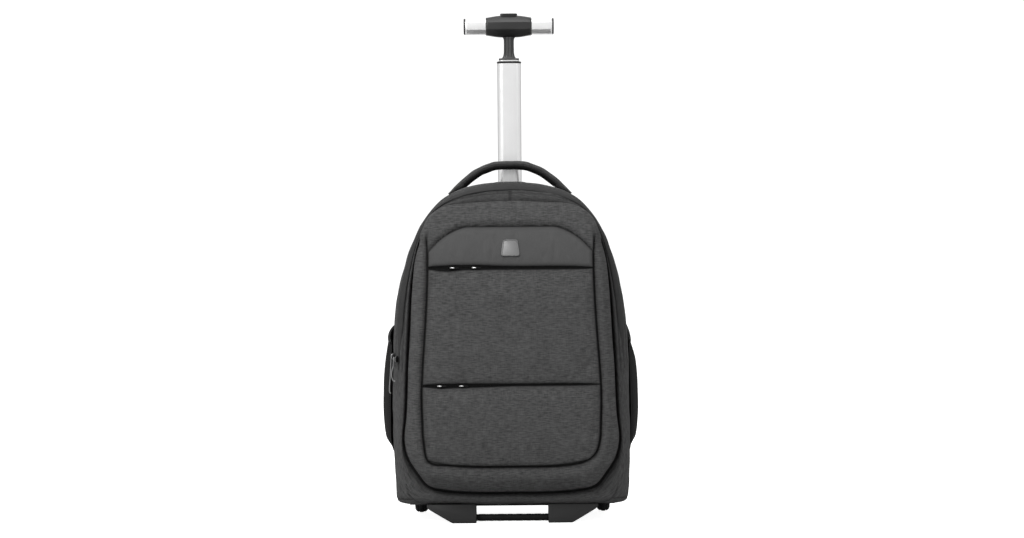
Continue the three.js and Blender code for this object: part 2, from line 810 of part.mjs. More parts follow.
// Blank badge on the yoke, wider below than above
function blankBadge() {
  const slope = (faceY(0, BADGE_Z + 10) - faceY(0, BADGE_Z - 10)) / 20;
  const w = BADGE_WIDTH / 2;
  const top = BADGE_TOP_WIDTH / 2;
  const h = BADGE_HEIGHT / 2;
  const corners = [
    [-w, -h],
    [w, -h],
    [top, h],
    [-top, h],
  ];
  const shape = new THREE.Shape();
  corners.forEach(([x, y], i) => {
    const [nx, ny] = corners[(i + 1) % 4];
    const near = new THREE.Vector2(lerp(x, nx, 0.18), lerp(y, ny, 0.18));
    const far = new THREE.Vector2(lerp(x, nx, 0.82), lerp(y, ny, 0.82));
    if (i === 0) shape.moveTo(near.x, near.y);
    else shape.quadraticCurveTo(x, y, near.x, near.y);
    shape.lineTo(far.x, far.y);
  });
  const start = shape.getPoint(0);
  shape.quadraticCurveTo(corners[0][0], corners[0][1], start.x, start.y);
  const y = faceY(0, BADGE_Z) - LOOSE_GAP - PANEL_EDGE - PANEL_SWELL - SEAM_GAP;
  return post(shape, 0, BADGE_THICK, 3)
    .rotateX(Math.PI / 2 - Math.atan(slope))
    .translate(0, y, BADGE_Z);
}
piece("blank_badge", blankBadge(), MATERIAL.silver);

// Carry handle from its middle to one end: shares of its half span, rise and thickness
const HANDLE_PROFILE = [
  { out: 0, rise: 1, thick: 1 },
  { out: 0.235, rise: 0.992, thick: 1 },
  { out: 0.354, rise: 0.922, thick: 1 },
  { out: 0.461, rise: 0.826, thick: 1 },
  { out: 0.56, rise: 0.7, thick: 1 },
  { out: 0.66, rise: 0.535, thick: 1 },
  { out: 0.75, rise: 0.375, thick: 1 },
  { out: 0.81, rise: 0.275, thick: 0.95 },
  { out: 0.87, rise: 0.22, thick: 0.75 },
  { out: 0.93, rise: 0.16, thick: 0.55 },
  { out: 0.97, rise: 0.13, thick: 0.42 },
  { out: 1, rise: 0.107, thick: 0.35 },
];

function carryHandle() {
  const rows = [
    ...HANDLE_PROFILE.slice(1)
      .reverse()
      .map((row) => ({ ...row, out: -row.out })),
    ...HANDLE_PROFILE,
  ];
  const stations = rows.map(({ out, rise, thick }) => ({
    at: new THREE.Vector3(
      out * HANDLE_SPAN,
      HANDLE_Y,
      topHeight(BODY, out * HANDLE_SPAN) + rise * HANDLE_RISE,
    ),
    side: new THREE.Vector3(0, 1, 0),
    width: HANDLE_WIDTH,
    thick: thick * HANDLE_THICK,
  }));
  return sweep(stations, 8, 0.7);
}
piece("carry_handle", carryHandle(), MATERIAL.heather);

// Side pocket: a slack mesh wall on the right flank, open at the top
const POCKET_ROWS = 8;
const POCKET_COLUMNS = 8;
const pocketHem = (y) =>
  lerp(POCKET_HEM_FRONT_Z, POCKET_HEM_BACK_Z, (y - POCKET_FRONT_Y) / (POCKET_REAR_Y - POCKET_FRONT_Y));

// Slack of the pocket from its bottom to its hem, as a share of POCKET_BULGE
const POCKET_PROFILE = [
  { up: 0, slack: 0.12 },
  { up: 0.05, slack: 0.5 },
  { up: 0.18, slack: 0.82 },
  { up: 0.45, slack: 1 },
  { up: 0.75, slack: 0.88 },
  { up: 1, slack: 0.42 },
];

function pocketPoint(u, v) {
  const y = lerp(POCKET_FRONT_Y, POCKET_REAR_Y, u);
  const z = lerp(POCKET_BOTTOM_Z, pocketHem(y), v);
  const round = Math.sin(Math.PI * u) ** 0.6;
  const slack = POCKET_BULGE * round * along(POCKET_PROFILE, "up", "slack", v);
  return new THREE.Vector3(halfWidth(BODY, z) + POCKET_WALL + LOOSE_GAP + 0.4 + slack, y, z);
}

function sidePocket() {
  const rows = Array.from({ length: POCKET_ROWS + 1 }, (_, r) =>
    Array.from({ length: POCKET_COLUMNS + 1 }, (_, c) => pocketPoint(c / POCKET_COLUMNS, r / POCKET_ROWS)),
  );
  return thicken(gridSheet(rows), inwards(POCKET_WALL));
}

function pocketEdge() {
  const stations = Array.from({ length: POCKET_COLUMNS + 1 }, (_, c) => {
    const at = pocketPoint(c / POCKET_COLUMNS, 1);
    at.z += HEM_RADIUS + SEAM_GAP * 2;
    return { at, side: new THREE.Vector3(1, 0, 0), width: HEM_RADIUS * 2, thick: HEM_RADIUS * 2 };
  });
  return sweep(stations, 6, 1);
}
piece("side_pocket_right", sidePocket(), MATERIAL.mesh);
piece("side_pocket_left", mirrored(sidePocket()), MATERIAL.mesh);
piece("pocket_hem_right", pocketEdge(), MATERIAL.webbing);
piece("pocket_hem_left", mirrored(pocketEdge()), MATERIAL.webbing);

// Padded back panel with a shallow channel down its middle
function panelY(x, z) {
  const up = (z - BASE_Z) / BAG_HEIGHT;
  const side = Math.abs(x) / HALF_WIDTH;
  const bump = (t, from, to) => Math.sin(Math.PI * clamp((t - from) / (to - from), 0, 1)) ** 0.7;
  return BACK_Y + SEAM_GAP + PANEL_THICK + PAD_SWELL * bump(side, 0.06, 0.86) * bump(up, 0.16, 0.97);
}

function backPanel() {
  const flat = ringsInward(BODY, [0.985, 0.985, 0.97], () => BACK_Y + SEAM_GAP);
  flat.rings[1].forEach((p) => (p.y += PANEL_THICK - 2));
  flat.rings[2].forEach((p) => (p.y += PANEL_THICK));
  const face = ringsInward(BODY, [0.84, 0.6, 0.3], panelY);
  const front = face.centre.clone().setY(BACK_Y + SEAM_GAP);
  return cut(loft([...flat.rings, ...face.rings], front, face.centre), wheelRoom(-1), wheelRoom(1));
}
piece("back_panel", backPanel(), MATERIAL.smooth);

// Shoulder strap from the top of the back to its lower end: out is a share of HALF_WIDTH
// and bow, width and thick are shares of the strap's own measures.
const STRAP_PATH = [
  { up: 0.93, out: 0.239, bow: 0, width: 0.8, thick: 0.6 },
  { up: 0.9, out: 0.244, bow: 0.16, width: 0.92, thick: 1 },
  { up: 0.83, out: 0.261, bow: 0.5, width: 1, thick: 1 },
  { up: 0.75, out: 0.295, bow: 0.8, width: 1, thick: 1 },
  { up: 0.66, out: 0.341, bow: 1, width: 0.97, thick: 1 },
  { up: 0.57, out: 0.398, bow: 1, width: 0.92, thick: 1 },
  { up: 0.48, out: 0.46, bow: 0.78, width: 0.85, thick: 0.95 },
  { up: 0.41, out: 0.517, bow: 0.45, width: 0.76, thick: 0.9 },
  { up: 0.36, out: 0.557, bow: 0.2, width: 0.68, thick: 0.8 },
  { up: 0.345, out: 0.568, bow: 0.14, width: 0.62, thick: 0.55 },
];

function backPoint(out, up, lift) {
  const x = out * HALF_WIDTH;
  const z = heightAt(up);
  return new THREE.Vector3(x, panelY(x, z) + lift, z);
}

function shoulderStrap() {
  const stations = STRAP_PATH.map(({ up, out, bow, width, thick }) => ({
    at: backPoint(out, up, bow * STRAP_BOW + (thick * STRAP_THICK) / 2 + LOOSE_GAP * 2),
    side: new THREE.Vector3(1, 0, 0),
    width: width * STRAP_WIDTH,
    thick: thick * STRAP_THICK,
  }));
  return sweep(stations, 10, 0.7);
}

const ADJUSTER = { out: 0.585, width: 33, height: 20, thick: 4.5, slot: 3.6 };
const strapEnd = STRAP_PATH.at(-1);
const adjusterUp = strapEnd.up - (ADJUSTER.height / 2 + 3.4) / BAG_HEIGHT;
const adjusterLift = strapEnd.bow * STRAP_BOW + 3;

function adjuster() {
  const { width, height, thick, slot } = ADJUSTER;
  const frame = roundedShape(width, height, 4);
  for (const y of [-height / 4, height / 4]) {
    const half = WEBBING_WIDTH / 2 + 0.8;
    const corners = [
      [-half, y - slot / 2],
      [-half, y + slot / 2],
      [half, y + slot / 2],
      [half, y - slot / 2],
    ];
    frame.holes.push(new THREE.Path(corners.map((corner) => new THREE.Vector2(...corner))));
  }
  const at = backPoint(ADJUSTER.out, adjusterUp, adjusterLift);
  return post(frame, -thick / 2, thick / 2, 2)
    .rotateX(Math.PI / 2)
    .translate(at.x, at.y, at.z);
}

// Webbing from below the adjuster to the lower corner of the back
const WEBBING_PATH = [
  { share: 0, lift: 1 },
  { share: 0.3, lift: 0.8 },
  { share: 0.65, lift: 0.4 },
  { share: 0.92, lift: 0.02 },
  { share: 1, lift: 0 },
];
const WEBBING_END = { out: 0.795, up: 0.135 };

function webbing() {
  const top = { out: ADJUSTER.out, up: adjusterUp - (ADJUSTER.height / 2 + 6) / BAG_HEIGHT };
  const stations = WEBBING_PATH.map(({ share, lift }) => ({
    at: backPoint(
      lerp(top.out, WEBBING_END.out, share),
      lerp(top.up, WEBBING_END.up, share),
      WEBBING_THICK + lift * adjusterLift,
    ),
    side: new THREE.Vector3(1, 0, 0.35),
    width: WEBBING_WIDTH,
    thick: WEBBING_THICK,
  }));
  return sweep(stations, 6, 0.7);
}

for (const [name, make, material] of [
  ["shoulder_strap", shoulderStrap, MATERIAL.smooth],
  ["adjuster", adjuster, MATERIAL.dark],
  ["webbing", webbing, MATERIAL.webbing],
]) {
  piece(`${name}_right`, make(), material);
  piece(`${name}_left`, mirrored(make()), material);
}

// Stiff tray under the bag between the wheel housings
const trayHalf = WHEEL_X - housingHalf - 2 * SEAM_GAP;
const trayDepth = BACK_Y - SHOULDER_Y - 4;
const trayTopZ = BASE_Z - SEAM_GAP;
const tray = post(roundedShape(2 * trayHalf, trayDepth, 8), trayTopZ - TRAY_THICK, trayTopZ);
piece("base_tray", tray.translate(0, BACK_Y - trayDepth / 2, 0), MATERIAL.plastic);

// Front foot: two brackets joined by a bar with a hand gap over it
const FOOT_FRONT_SHAPE = [
  [FOOT_INNER_X, 0],
  [FOOT_OUTER_X, 0],
  [FOOT_TOP_X - 4, 19.5],
  [FOOT_TOP_X, 23],
  [FOOT_TOP_X, 34],
  [FOOT_INNER_X, 34],
];
const FOOT_SIDE_SHAPE = [
  [FOOT_FRONT_Y, 0],
  [FOOT_FRONT_Y + FOOT_DEPTH, 0],
  [FOOT_FRONT_Y + FOOT_DEPTH, 24.6],
  [FOOT_FRONT_Y + 24, 26],
  [FOOT_FRONT_Y + 14, 28],
  [FOOT_FRONT_Y + 6, 27],
  [FOOT_FRONT_Y, 8],
];

function flatShape(corners) {
  return new THREE.Shape(corners.map(([x, y]) => new THREE.Vector2(x, y)));
}

function barOf(radius, halfLength, sides = 12) {
  return new THREE.CylinderGeometry(radius, radius, 2 * halfLength, sides).rotateZ(Math.PI / 2);
}

const BAR_SOCKET = 6; // how far the bar reaches into a bracket
const FOOT_BLANK = 60; // depth of the front shape before the side shape trims it
const FOOT_BLANK_BACK_Y = FOOT_FRONT_Y + 50;
const FOOT_BLANK_WIDTH = FOOT_TOP_X + 10;

function foot() {
  const seenFromFront = post(flatShape(FOOT_FRONT_SHAPE), 0, FOOT_BLANK).rotateX(Math.PI / 2);
  seenFromFront.translate(0, FOOT_BLANK_BACK_Y, 0);
  const seenFromSide = post(flatShape(FOOT_SIDE_SHAPE), 0, FOOT_BLANK_WIDTH);
  seenFromSide.rotateX(Math.PI / 2).rotateZ(Math.PI / 2);
  const bracket = geometryFrom(solid(seenFromFront).intersect(solid(seenFromSide)));
  const socket = barOf(FOOT_BAR_RADIUS + SEAM_GAP, BAR_SOCKET);
  return cut(bracket, socket.translate(FOOT_INNER_X, FOOT_BAR_Y, FOOT_BAR_Z));
}
piece("foot_right", foot(), MATERIAL.plastic);
piece("foot_left", mirrored(foot()), MATERIAL.plastic);
const bar = barOf(FOOT_BAR_RADIUS, FOOT_INNER_X + BAR_SOCKET - SEAM_GAP);
piece("foot_bar", bar, MATERIAL.dark).position.set(0, FOOT_BAR_Y, FOOT_BAR_Z);

// Wheel housing, axle, tyre and hub, drawn about the wheel's centre
function sidewaysPost(shape, low, high) {
  return post(shape, low, high).rotateX(Math.PI / 2).rotateZ(Math.PI / 2);
}

const wellRadius = WHEEL_RADIUS + WELL_CLEARANCE;
const roofRadius = wellRadius + HOUSING_ROOF;

function wheelArc(radius, from, to, steps = 7) {
  return Array.from({ length: steps + 1 }, (_, i) => {
    const a = Math.PI * lerp(from, to, i / steps);
    return [radius * Math.cos(a), radius * Math.sin(a)];
  });
}

function wheelHousing() {
  const front = HOUSING_FRONT_Y - WHEEL_Y;
  const back = housingBackY - WHEEL_Y;
  const bottom = HOUSING_BOTTOM_Z - WHEEL_RADIUS;
  const outer = [[front, bottom], ...wheelArc(roofRadius, 1, 0.5), [back, roofRadius]];
  const cheek = flatShape([...outer, [back, bottom]]);
  const bore = wheelArc(AXLE_RADIUS + AXLE_CLEARANCE, 0, 11 / 6, 11);
  cheek.holes.push(new THREE.Path(bore.map(([y, z]) => new THREE.Vector2(y, z))));
  const roof = flatShape([
    ...outer,
    [back, wellRadius],
    ...wheelArc(wellRadius, 0.5, 1),
    [-wellRadius, bottom],
  ]);
  return joined(
    sidewaysPost(cheek, -housingHalf, -wellHalf),
    sidewaysPost(cheek, wellHalf, housingHalf),
    sidewaysPost(roof, -housingHalf, housingHalf),
  );
}

function turnedRing(profile, segments) {
  const points = [...profile, profile[0]].map(([radius, side]) => new THREE.Vector2(radius, side));
  return new THREE.LatheGeometry(points, segments).rotateZ(-Math.PI / 2);
}

const rimRadius = WHEEL_RADIUS - TYRE_DEPTH;
const treadHalf = WHEEL_WIDTH / 2;
const TYRE_PROFILE = [
  [rimRadius, -treadHalf + 1.5],
  [WHEEL_RADIUS - 2.2, -treadHalf],
  [WHEEL_RADIUS, -treadHalf + 2.6],
  [WHEEL_RADIUS, treadHalf - 2.6],
  [WHEEL_RADIUS - 2.2, treadHalf],
  [rimRadius, treadHalf - 1.5],
];
const HUB_PROFILE = [
  [AXLE_RADIUS + AXLE_CLEARANCE, -treadHalf],
  [9, -treadHalf],
  [12, -treadHalf + 4],
  [rimRadius - 4, -treadHalf + 4],
  [rimRadius - 1, -treadHalf + 2],
  [rimRadius - 1, treadHalf - 2],
  [rimRadius - 4, treadHalf - 4],
  [12, treadHalf - 4],
  [9, treadHalf],
  [AXLE_RADIUS + AXLE_CLEARANCE, treadHalf],
];

for (const [side, wheel] of Object.entries(wheels)) {
  piece(`wheel_housing_${side}`, wheelHousing(), MATERIAL.plastic, wheel);
  piece(`axle_${side}`, barOf(AXLE_RADIUS, housingHalf - SEAM_GAP), MATERIAL.gunmetal, wheel);
  piece(`tyre_${side}`, turnedRing(TYRE_PROFILE, 28), MATERIAL.rubber, wheel);
  piece(`hub_${side}`, turnedRing(HUB_PROFILE, 18), MATERIAL.dark, wheel);
}

// Trolley: a housing inside the bag, two tubes one in the other, a neck and a T-shaped grip
const tubeShape = (margin) =>
  roundedShape(TUBE_WIDTH + 2 * margin, TUBE_DEPTH + 2 * margin, TUBE_DEPTH / 2 + margin);
const upperMargin = -TUBE_WALL - TUBE_CLEARANCE;
const housingOuter = TUBE_CLEARANCE + HOUSING_WALL;

function hollow(outerMargin, innerMargin, low, high) {
  return post(ringShape(tubeShape(outerMargin), tubeShape(innerMargin)), low, high);
}

piece(
  "trolley_housing",
  hollow(housingOuter, TUBE_CLEARANCE, BASE_Z + MAIN_WALL + SEAM_GAP, bagTopZ),
  MATERIAL.plastic,
  trolley,
);
const bezelZ = bagTopZ + SEAM_GAP;
piece(
  "trolley_bezel",
  joined(
    hollow(housingOuter + BEZEL_LIP, TUBE_CLEARANCE, bezelZ, bezelZ + BEZEL_THICK),
    hollow(housingOuter + SEAM_GAP + BEZEL_NECK, housingOuter + SEAM_GAP, bezelZ - BEZEL_DEPTH, bezelZ + 1),
  ),
  MATERIAL.plastic,
  trolley,
);
const lowerTopZ = bagTopZ + LOWER_TUBE_SHOWS;
piece(
  "lower_tube",
  hollow(0, -TUBE_WALL, lowerTopZ - LOWER_TUBE_LENGTH, lowerTopZ),
  MATERIAL.silver,
  trolley,
);
const collarZ = lowerTopZ + SEAM_GAP;
piece(
  "lower_collar",
  hollow(COLLAR_LIP, -TUBE_WALL, collarZ, collarZ + COLLAR_THICK),
  MATERIAL.dark,
  trolley,
);
const upperTopZ = collarZ + COLLAR_THICK + UPPER_SHOWS;
piece(
  "upper_tube",
  hollow(upperMargin, upperMargin - UPPER_TUBE_WALL, upperTopZ - UPPER_TUBE_LENGTH, upperTopZ),
  MATERIAL.silver,
  trolley,
);

// Rings of the neck, from its flange on the upper tube to the underside of the grip
const NECK_PROFILE = [
  { up: 0, width: 31, depth: 14.4 },
  { up: 0.07, width: 31, depth: 14.4 },
  { up: 0.1, width: 22, depth: 13.6 },
  { up: 0.2, width: 17.4, depth: 13 },
  { up: 0.35, width: 15.8, depth: 12.6 },
  { up: 1, width: 15.6, depth: 12.6 },
];
const neckBottomZ = upperTopZ + SEAM_GAP;
const grip = groupAt(trolley, 0, 0, neckBottomZ + NECK_LENGTH + SEAM_GAP + SHELL_HEIGHT / 2);

function ovalRing(width, height, sides, square, place) {
  const round = (v) => Math.sign(v) * Math.abs(v) ** square;
  return Array.from({ length: sides }, (_, k) => {
    const a = (2 * Math.PI * (k + 0.5)) / sides;
    return place((width / 2) * round(Math.cos(a)), (height / 2) * round(Math.sin(a)));
  });
}

function neck() {
  return loft(
    NECK_PROFILE.map(({ up, width, depth }) =>
      ovalRing(width, depth, 12, 0.6, (x, y) => new THREE.Vector3(x, y, neckBottomZ + up * NECK_LENGTH)),
    ),
  );
}
piece("neck", neck(), MATERIAL.plastic, trolley);

// Rings of the grip's shell; size runs from its end height to its full height
const SHELL_PROFILE = [
  { out: -1, size: 0, deep: 0.9 },
  { out: -0.88, size: 0.22, deep: 0.96 },
  { out: -0.44, size: 0.93, deep: 1 },
  { out: 0, size: 1, deep: 1 },
  { out: 0.44, size: 0.93, deep: 1 },
  { out: 0.88, size: 0.22, deep: 0.96 },
  { out: 1, size: 0, deep: 0.9 },
];
const shellTopZ = SHELL_HEIGHT / 2; // above the middle of the grip, as all heights of its pieces are
const coreEnd = GRIP_SPAN / 2 - CAP_THICK - SEAM_GAP;

function sidewaysRings(rows, sides, square) {
  return rows.map(({ x, height, depth }) =>
    ovalRing(depth, height, sides, square, (y, z) => new THREE.Vector3(x, y, z)),
  );
}

function gripShell() {
  const rows = SHELL_PROFILE.map(({ out, size, deep }) => ({
    x: (out * SHELL_LENGTH) / 2,
    height: lerp(SHELL_END_HEIGHT, SHELL_HEIGHT, size),
    depth: deep * SHELL_DEPTH,
  }));
  const button = roundedShape(BUTTON_LENGTH + 0.8, BUTTON_DEPTH + 0.8, 4);
  const floor = shellTopZ + BUTTON_STANDS - BUTTON_BODY - BUTTON_TRAVEL - SEAM_GAP;
  return cut(
    joined(loft(sidewaysRings(rows, 16, 0.72)), barOf(CORE_RADIUS, coreEnd)),
    post(button, floor, shellTopZ + 5, 3),
  );
}

function gripSleeve() {
  const size = { height: SLEEVE_DIAMETER, depth: SLEEVE_DIAMETER };
  const rows = [
    { x: SHELL_LENGTH / 2 + SEAM_GAP, ...size },
    { x: coreEnd, ...size },
  ];
  const length = (coreEnd + SHELL_LENGTH) / 2;
  return cut(
    loft(sidewaysRings(rows, 20, 0.82)),
    barOf(CORE_RADIUS + SEAM_GAP, length).translate(coreEnd - length / 2, 0, 0),
  );
}

function gripCap() {
  const size = { height: SLEEVE_DIAMETER, depth: SLEEVE_DIAMETER };
  const inner = coreEnd + SEAM_GAP;
  const rows = [
    { x: inner, ...size },
    { x: inner + CAP_THICK * 0.5, ...size },
    { x: inner + CAP_THICK, height: size.height - 2, depth: size.depth - 2 },
  ];
  return loft(sidewaysRings(rows, 16, 0.82));
}

piece("grip_shell", gripShell(), MATERIAL.dark, grip);
piece("grip_sleeve_right", gripSleeve(), MATERIAL.silver, grip);
piece("grip_sleeve_left", mirrored(gripSleeve()), MATERIAL.silver, grip);
piece("grip_cap_right", gripCap(), MATERIAL.dark, grip);
piece("grip_cap_left", mirrored(gripCap()), MATERIAL.dark, grip);
piece(
  "grip_button",
  post(
    roundedShape(BUTTON_LENGTH, BUTTON_DEPTH, 3.6),
    shellTopZ + BUTTON_STANDS - BUTTON_BODY,
    shellTopZ + BUTTON_STANDS,
    4,
  ),
  MATERIAL.dark,
  grip,
);

// The origin is under the middle of the whole bag.
const whole = new THREE.Box3().setFromObject(bag);
bag.position.y = -(whole.min.y + whole.max.y) / 2;
bag.updateMatrixWorld(true);
export default bag;
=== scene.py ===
"""A soft two-wheeled backpack with a telescoping trolley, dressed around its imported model.

Sizes are in millimetres: +Z up from the floor, the front faces -Y. place() turns them into metres
in the frame. Outlines are shares of the bag's height and half width.
"""

import math

import bmesh
import bpy
import numpy as np
from mathutils import Matrix, Vector


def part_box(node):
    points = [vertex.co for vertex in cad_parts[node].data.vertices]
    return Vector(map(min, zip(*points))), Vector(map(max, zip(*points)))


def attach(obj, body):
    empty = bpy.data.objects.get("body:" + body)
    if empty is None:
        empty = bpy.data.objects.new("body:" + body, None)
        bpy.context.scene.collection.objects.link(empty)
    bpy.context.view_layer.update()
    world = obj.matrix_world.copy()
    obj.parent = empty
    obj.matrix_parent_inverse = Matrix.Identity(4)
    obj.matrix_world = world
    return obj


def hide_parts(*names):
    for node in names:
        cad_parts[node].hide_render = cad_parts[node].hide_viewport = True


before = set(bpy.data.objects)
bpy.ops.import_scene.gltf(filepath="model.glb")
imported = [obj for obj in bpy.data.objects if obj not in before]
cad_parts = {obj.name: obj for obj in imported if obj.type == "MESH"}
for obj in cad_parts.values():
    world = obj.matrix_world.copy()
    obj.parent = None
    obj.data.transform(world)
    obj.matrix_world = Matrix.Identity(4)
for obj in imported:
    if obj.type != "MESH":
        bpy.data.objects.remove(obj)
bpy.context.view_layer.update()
MM = 0.001

# Driving dimensions of the bag
BASE_Z = 25
BAG_HEIGHT = 478
HALF_WIDTH = 176
BACK_Y = 88
SEAM_GAP = 0.3
MAIN_WALL = 3
FRONT_WALL = 2.5
LOOSE_GAP = 0.6
SHOULDER_Y = -28
EDGE_Y = -58
DIVIDER_Y = -52
FRONT_UPSTAND = 5
FRONT_RISE = 42
FACE_CROWN = 7
TOP_Z = BASE_Z + BAG_HEIGHT

# The frame's Y is the design's Y less this shift
SHIFT_Y = BACK_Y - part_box("main_compartment")[1].y / MM


def height_at(up):
    return BASE_Z + up * BAG_HEIGHT


UPPER_ZIP_Z = height_at(0.7335)
LOWER_ZIP_Z = height_at(0.376)
UPPER_ZIP_SLOT = 5.2
LOWER_ZIP_SLOT = 4
YOKE_TOP_Z = height_at(0.859)
YOKE_SIDE_DROP = 0.079 * BAG_HEIGHT
PANEL_INSET = 1.6
PANEL_EDGE = 2.2
PANEL_SWELL = 2.6
ZIP_THICK = 1.3

CAMERA_AT = (2.16, -2900, 373)
CAMERA_LENS = 67.97
CAMERA_SENSOR = 36
CAMERA_ROLL = -0.45


def columns(names, *rows):
    """A small table as one array for each named column."""
    return dict(zip(names.split(), np.array(rows, float).T))


BODY_OUTLINE = columns(
    "up out",
    (0, 0), (0, 0.34), (0, 0.65), (0.0005, 0.89), (0.01, 0.966), (0.046, 0.983),
    (0.136, 0.994), (0.282, 1), (0.429, 0.991), (0.561, 0.976), (0.669, 0.933), (0.77, 0.866),
    (0.847, 0.779), (0.906, 0.67), (0.948, 0.562), (0.975, 0.428), (0.993, 0.239), (1, 0),
)
GROOVE_OUTLINE = columns(
    "up out",
    (0.038, 0), (0.038, 0.284), (0.044, 0.535), (0.058, 0.7), (0.094, 0.785), (0.146, 0.874),
    (0.201, 0.906), (0.282, 0.886), (0.408, 0.871), (0.533, 0.852), (0.659, 0.83), (0.759, 0.794),
    (0.831, 0.744), (0.883, 0.676), (0.91, 0.574), (0.926, 0.42), (0.934, 0.227), (0.937, 0),
)
FACE_OUTLINE = columns(
    "up out",
    (0.126, 0), (0.126, 0.256), (0.13, 0.466), (0.142, 0.608), (0.169, 0.699), (0.211, 0.733),
    (0.268, 0.741), (0.345, 0.746), (0.429, 0.736), (0.554, 0.712), (0.669, 0.696), (0.764, 0.691),
    (0.835, 0.693), (0.881, 0.645), (0.908, 0.551), (0.924, 0.403), (0.932, 0.216), (0.935, 0),
)
FACE_PROFILE = columns(
    "up rise",
    (0, 0.8), (0.126, 0.88), (0.22, 0.97), (0.37, 1), (0.57, 0.96), (0.73, 0.8),
    (0.85, 0.45), (0.91, 0.17), (0.935, 0.03), (1, 0),
)
TURN_DEPTH = EDGE_Y - SHOULDER_Y
MAIN_PROFILE = columns(
    "y mix",
    (BACK_Y, 0.03),
    (BACK_Y - 8, 0),
    (SHOULDER_Y, 0.02),
    (SHOULDER_Y + 0.47 * TURN_DEPTH, 0.14),
    (SHOULDER_Y + 0.78 * TURN_DEPTH, 0.38),
    (SHOULDER_Y + 0.96 * TURN_DEPTH, 0.66),
    (EDGE_Y, 0.86),
    (DIVIDER_Y, 1),
)
GROOVE_FIT = 0.991
GROOVE_TOP_FIT = 1.002
GUSSET_PROFILE = columns(
    "mix lift rise",
    (0, 0, 0), (0.02, 0.8, 0.06), (0.16, 1, 0.46), (0.5, 1, 0.86), (1, 1, 0.97),
)
AROUND = 46 * 8


def place(points):
    """Design millimetres as metres in the frame."""
    points = np.array(points, float)
    points[..., 1] -= SHIFT_Y
    return points * MM


def smoothstep(x, low, high):
    t = np.clip((np.asarray(x, float) - low) / (high - low), 0, 1)
    return t * t * (3 - 2 * t)


def along(rows, key, column, at):
    """Smooth value of a table's column at a share of its key column."""
    k, v = rows[key], rows[column]
    last = len(k) - 1
    before = np.maximum(np.arange(last + 1) - 1, 0)
    after = np.minimum(np.arange(last + 1) + 1, last)
    slope = (v[after] - v[before]) / (k[after] - k[before])
    i = np.clip(np.searchsorted(k, at, side="right") - 1, 0, last - 1)
    span = k[i + 1] - k[i]
    t = np.clip((at - k[i]) / span, 0, 1)
    return (
        (2 * t**3 - 3 * t**2 + 1) * v[i]
        + (t**3 - 2 * t**2 + t) * span * slope[i]
        + (-2 * t**3 + 3 * t**2) * v[i + 1]
        + (t**3 - t**2) * span * slope[i + 1]
    )


def spline(points, steps, closed=False):
    """Centripetal Catmull-Rom curve through points, with evenly spaced parameters."""
    points = np.array(points, float)
    count = len(points)
    if closed:
        t = np.arange(steps) / steps * count
        pick = lambda i: points[i % count]
    else:
        first, last = 2 * points[0] - points[1], 2 * points[-1] - points[-2]
        extended = np.vstack([first, points, last])
        t = np.linspace(0, count - 1, steps)
        pick = lambda i: extended[np.clip(i + 1, 0, count + 1)]
    i = np.minimum(np.floor(t).astype(int), count - (1 if closed else 2))
    w = (t - i)[:, None]
    p0, p1, p2, p3 = (pick(i + k) for k in (-1, 0, 1, 2))
    d0, d1, d2 = (
        (np.linalg.norm(b - a, axis=1) ** 0.5)[:, None] for a, b in ((p0, p1), (p1, p2), (p2, p3))
    )
    d1 = np.where(d1 < 1e-4, 1, d1)
    d0 = np.where(d0 < 1e-4, d1, d0)
    d2 = np.where(d2 < 1e-4, d1, d2)
    m1 = ((p1 - p0) / d0 - (p2 - p0) / (d0 + d1) + (p2 - p1) / d1) * d1
    m2 = ((p2 - p1) / d1 - (p3 - p1) / (d1 + d2) + (p3 - p2) / d2) * d1
    return (
        p1 + m1 * w + (-3 * p1 + 3 * p2 - 2 * m1 - m2) * w**2 + (2 * p1 - 2 * p2 + m1 + m2) * w**3
    )


def outline(rows, steps=AROUND):
    """The closed outline of a table, anticlockwise seen from the front."""
    right = np.stack([rows["out"] * HALF_WIDTH, 0 * rows["out"], height_at(rows["up"])], 1)
    left = right[-2:0:-1] * (-1, 1, 1)
    return spline(np.vstack([right, left]), steps, closed=True)


BODY = outline(BODY_OUTLINE)
GROOVE = outline(GROOVE_OUTLINE)
FACE = outline(FACE_OUTLINE)
CORNER_AT = (-116, 0, 96)
CORNER_PULL = (-5, 0, -6)
CORNER_REACH = 17
from_corner = np.linalg.norm(FACE - CORNER_AT, axis=1)[:, None]
FACE += np.array(CORNER_PULL) * np.exp(-((from_corner / CORNER_REACH) ** 2))


LEFT_SWELL = 3.4
LEFT_SWELL_Z, LEFT_SWELL_REACH = 328, 50
on_left = BODY[:, 0] < -HALF_WIDTH / 2
BODY[:, 0] -= LEFT_SWELL * on_left * np.exp(-(((BODY[:, 2] - LEFT_SWELL_Z) / LEFT_SWELL_REACH) ** 2))


def half_width(ring, z, left=False):
    """Half width of an outline at heights z."""
    side = ring[: len(ring) // 2 + 1]
    if left:
        side = np.vstack([ring[:1], ring[len(ring) // 2 :][::-1]]) * (-1, 1, 1)
    keep = np.concatenate([[True], np.diff(side[:, 2]) > 1e-6])
    return np.interp(z, side[keep, 2], side[keep, 0])


def face_x(u, z):
    """A share of the face's width as a distance from its middle, within the pockets' edges."""
    half = np.where(u < 0, half_width(FACE, z, left=True), half_width(FACE, z))
    return u * (half - PANEL_INSET)


def top_height(ring, x):
    """Height of an outline's upper side at distances x from its centre."""
    side = ring[len(ring) // 4 : len(ring) // 2 + 1][::-1]
    return np.interp(np.abs(x), side[:, 0], side[:, 2])


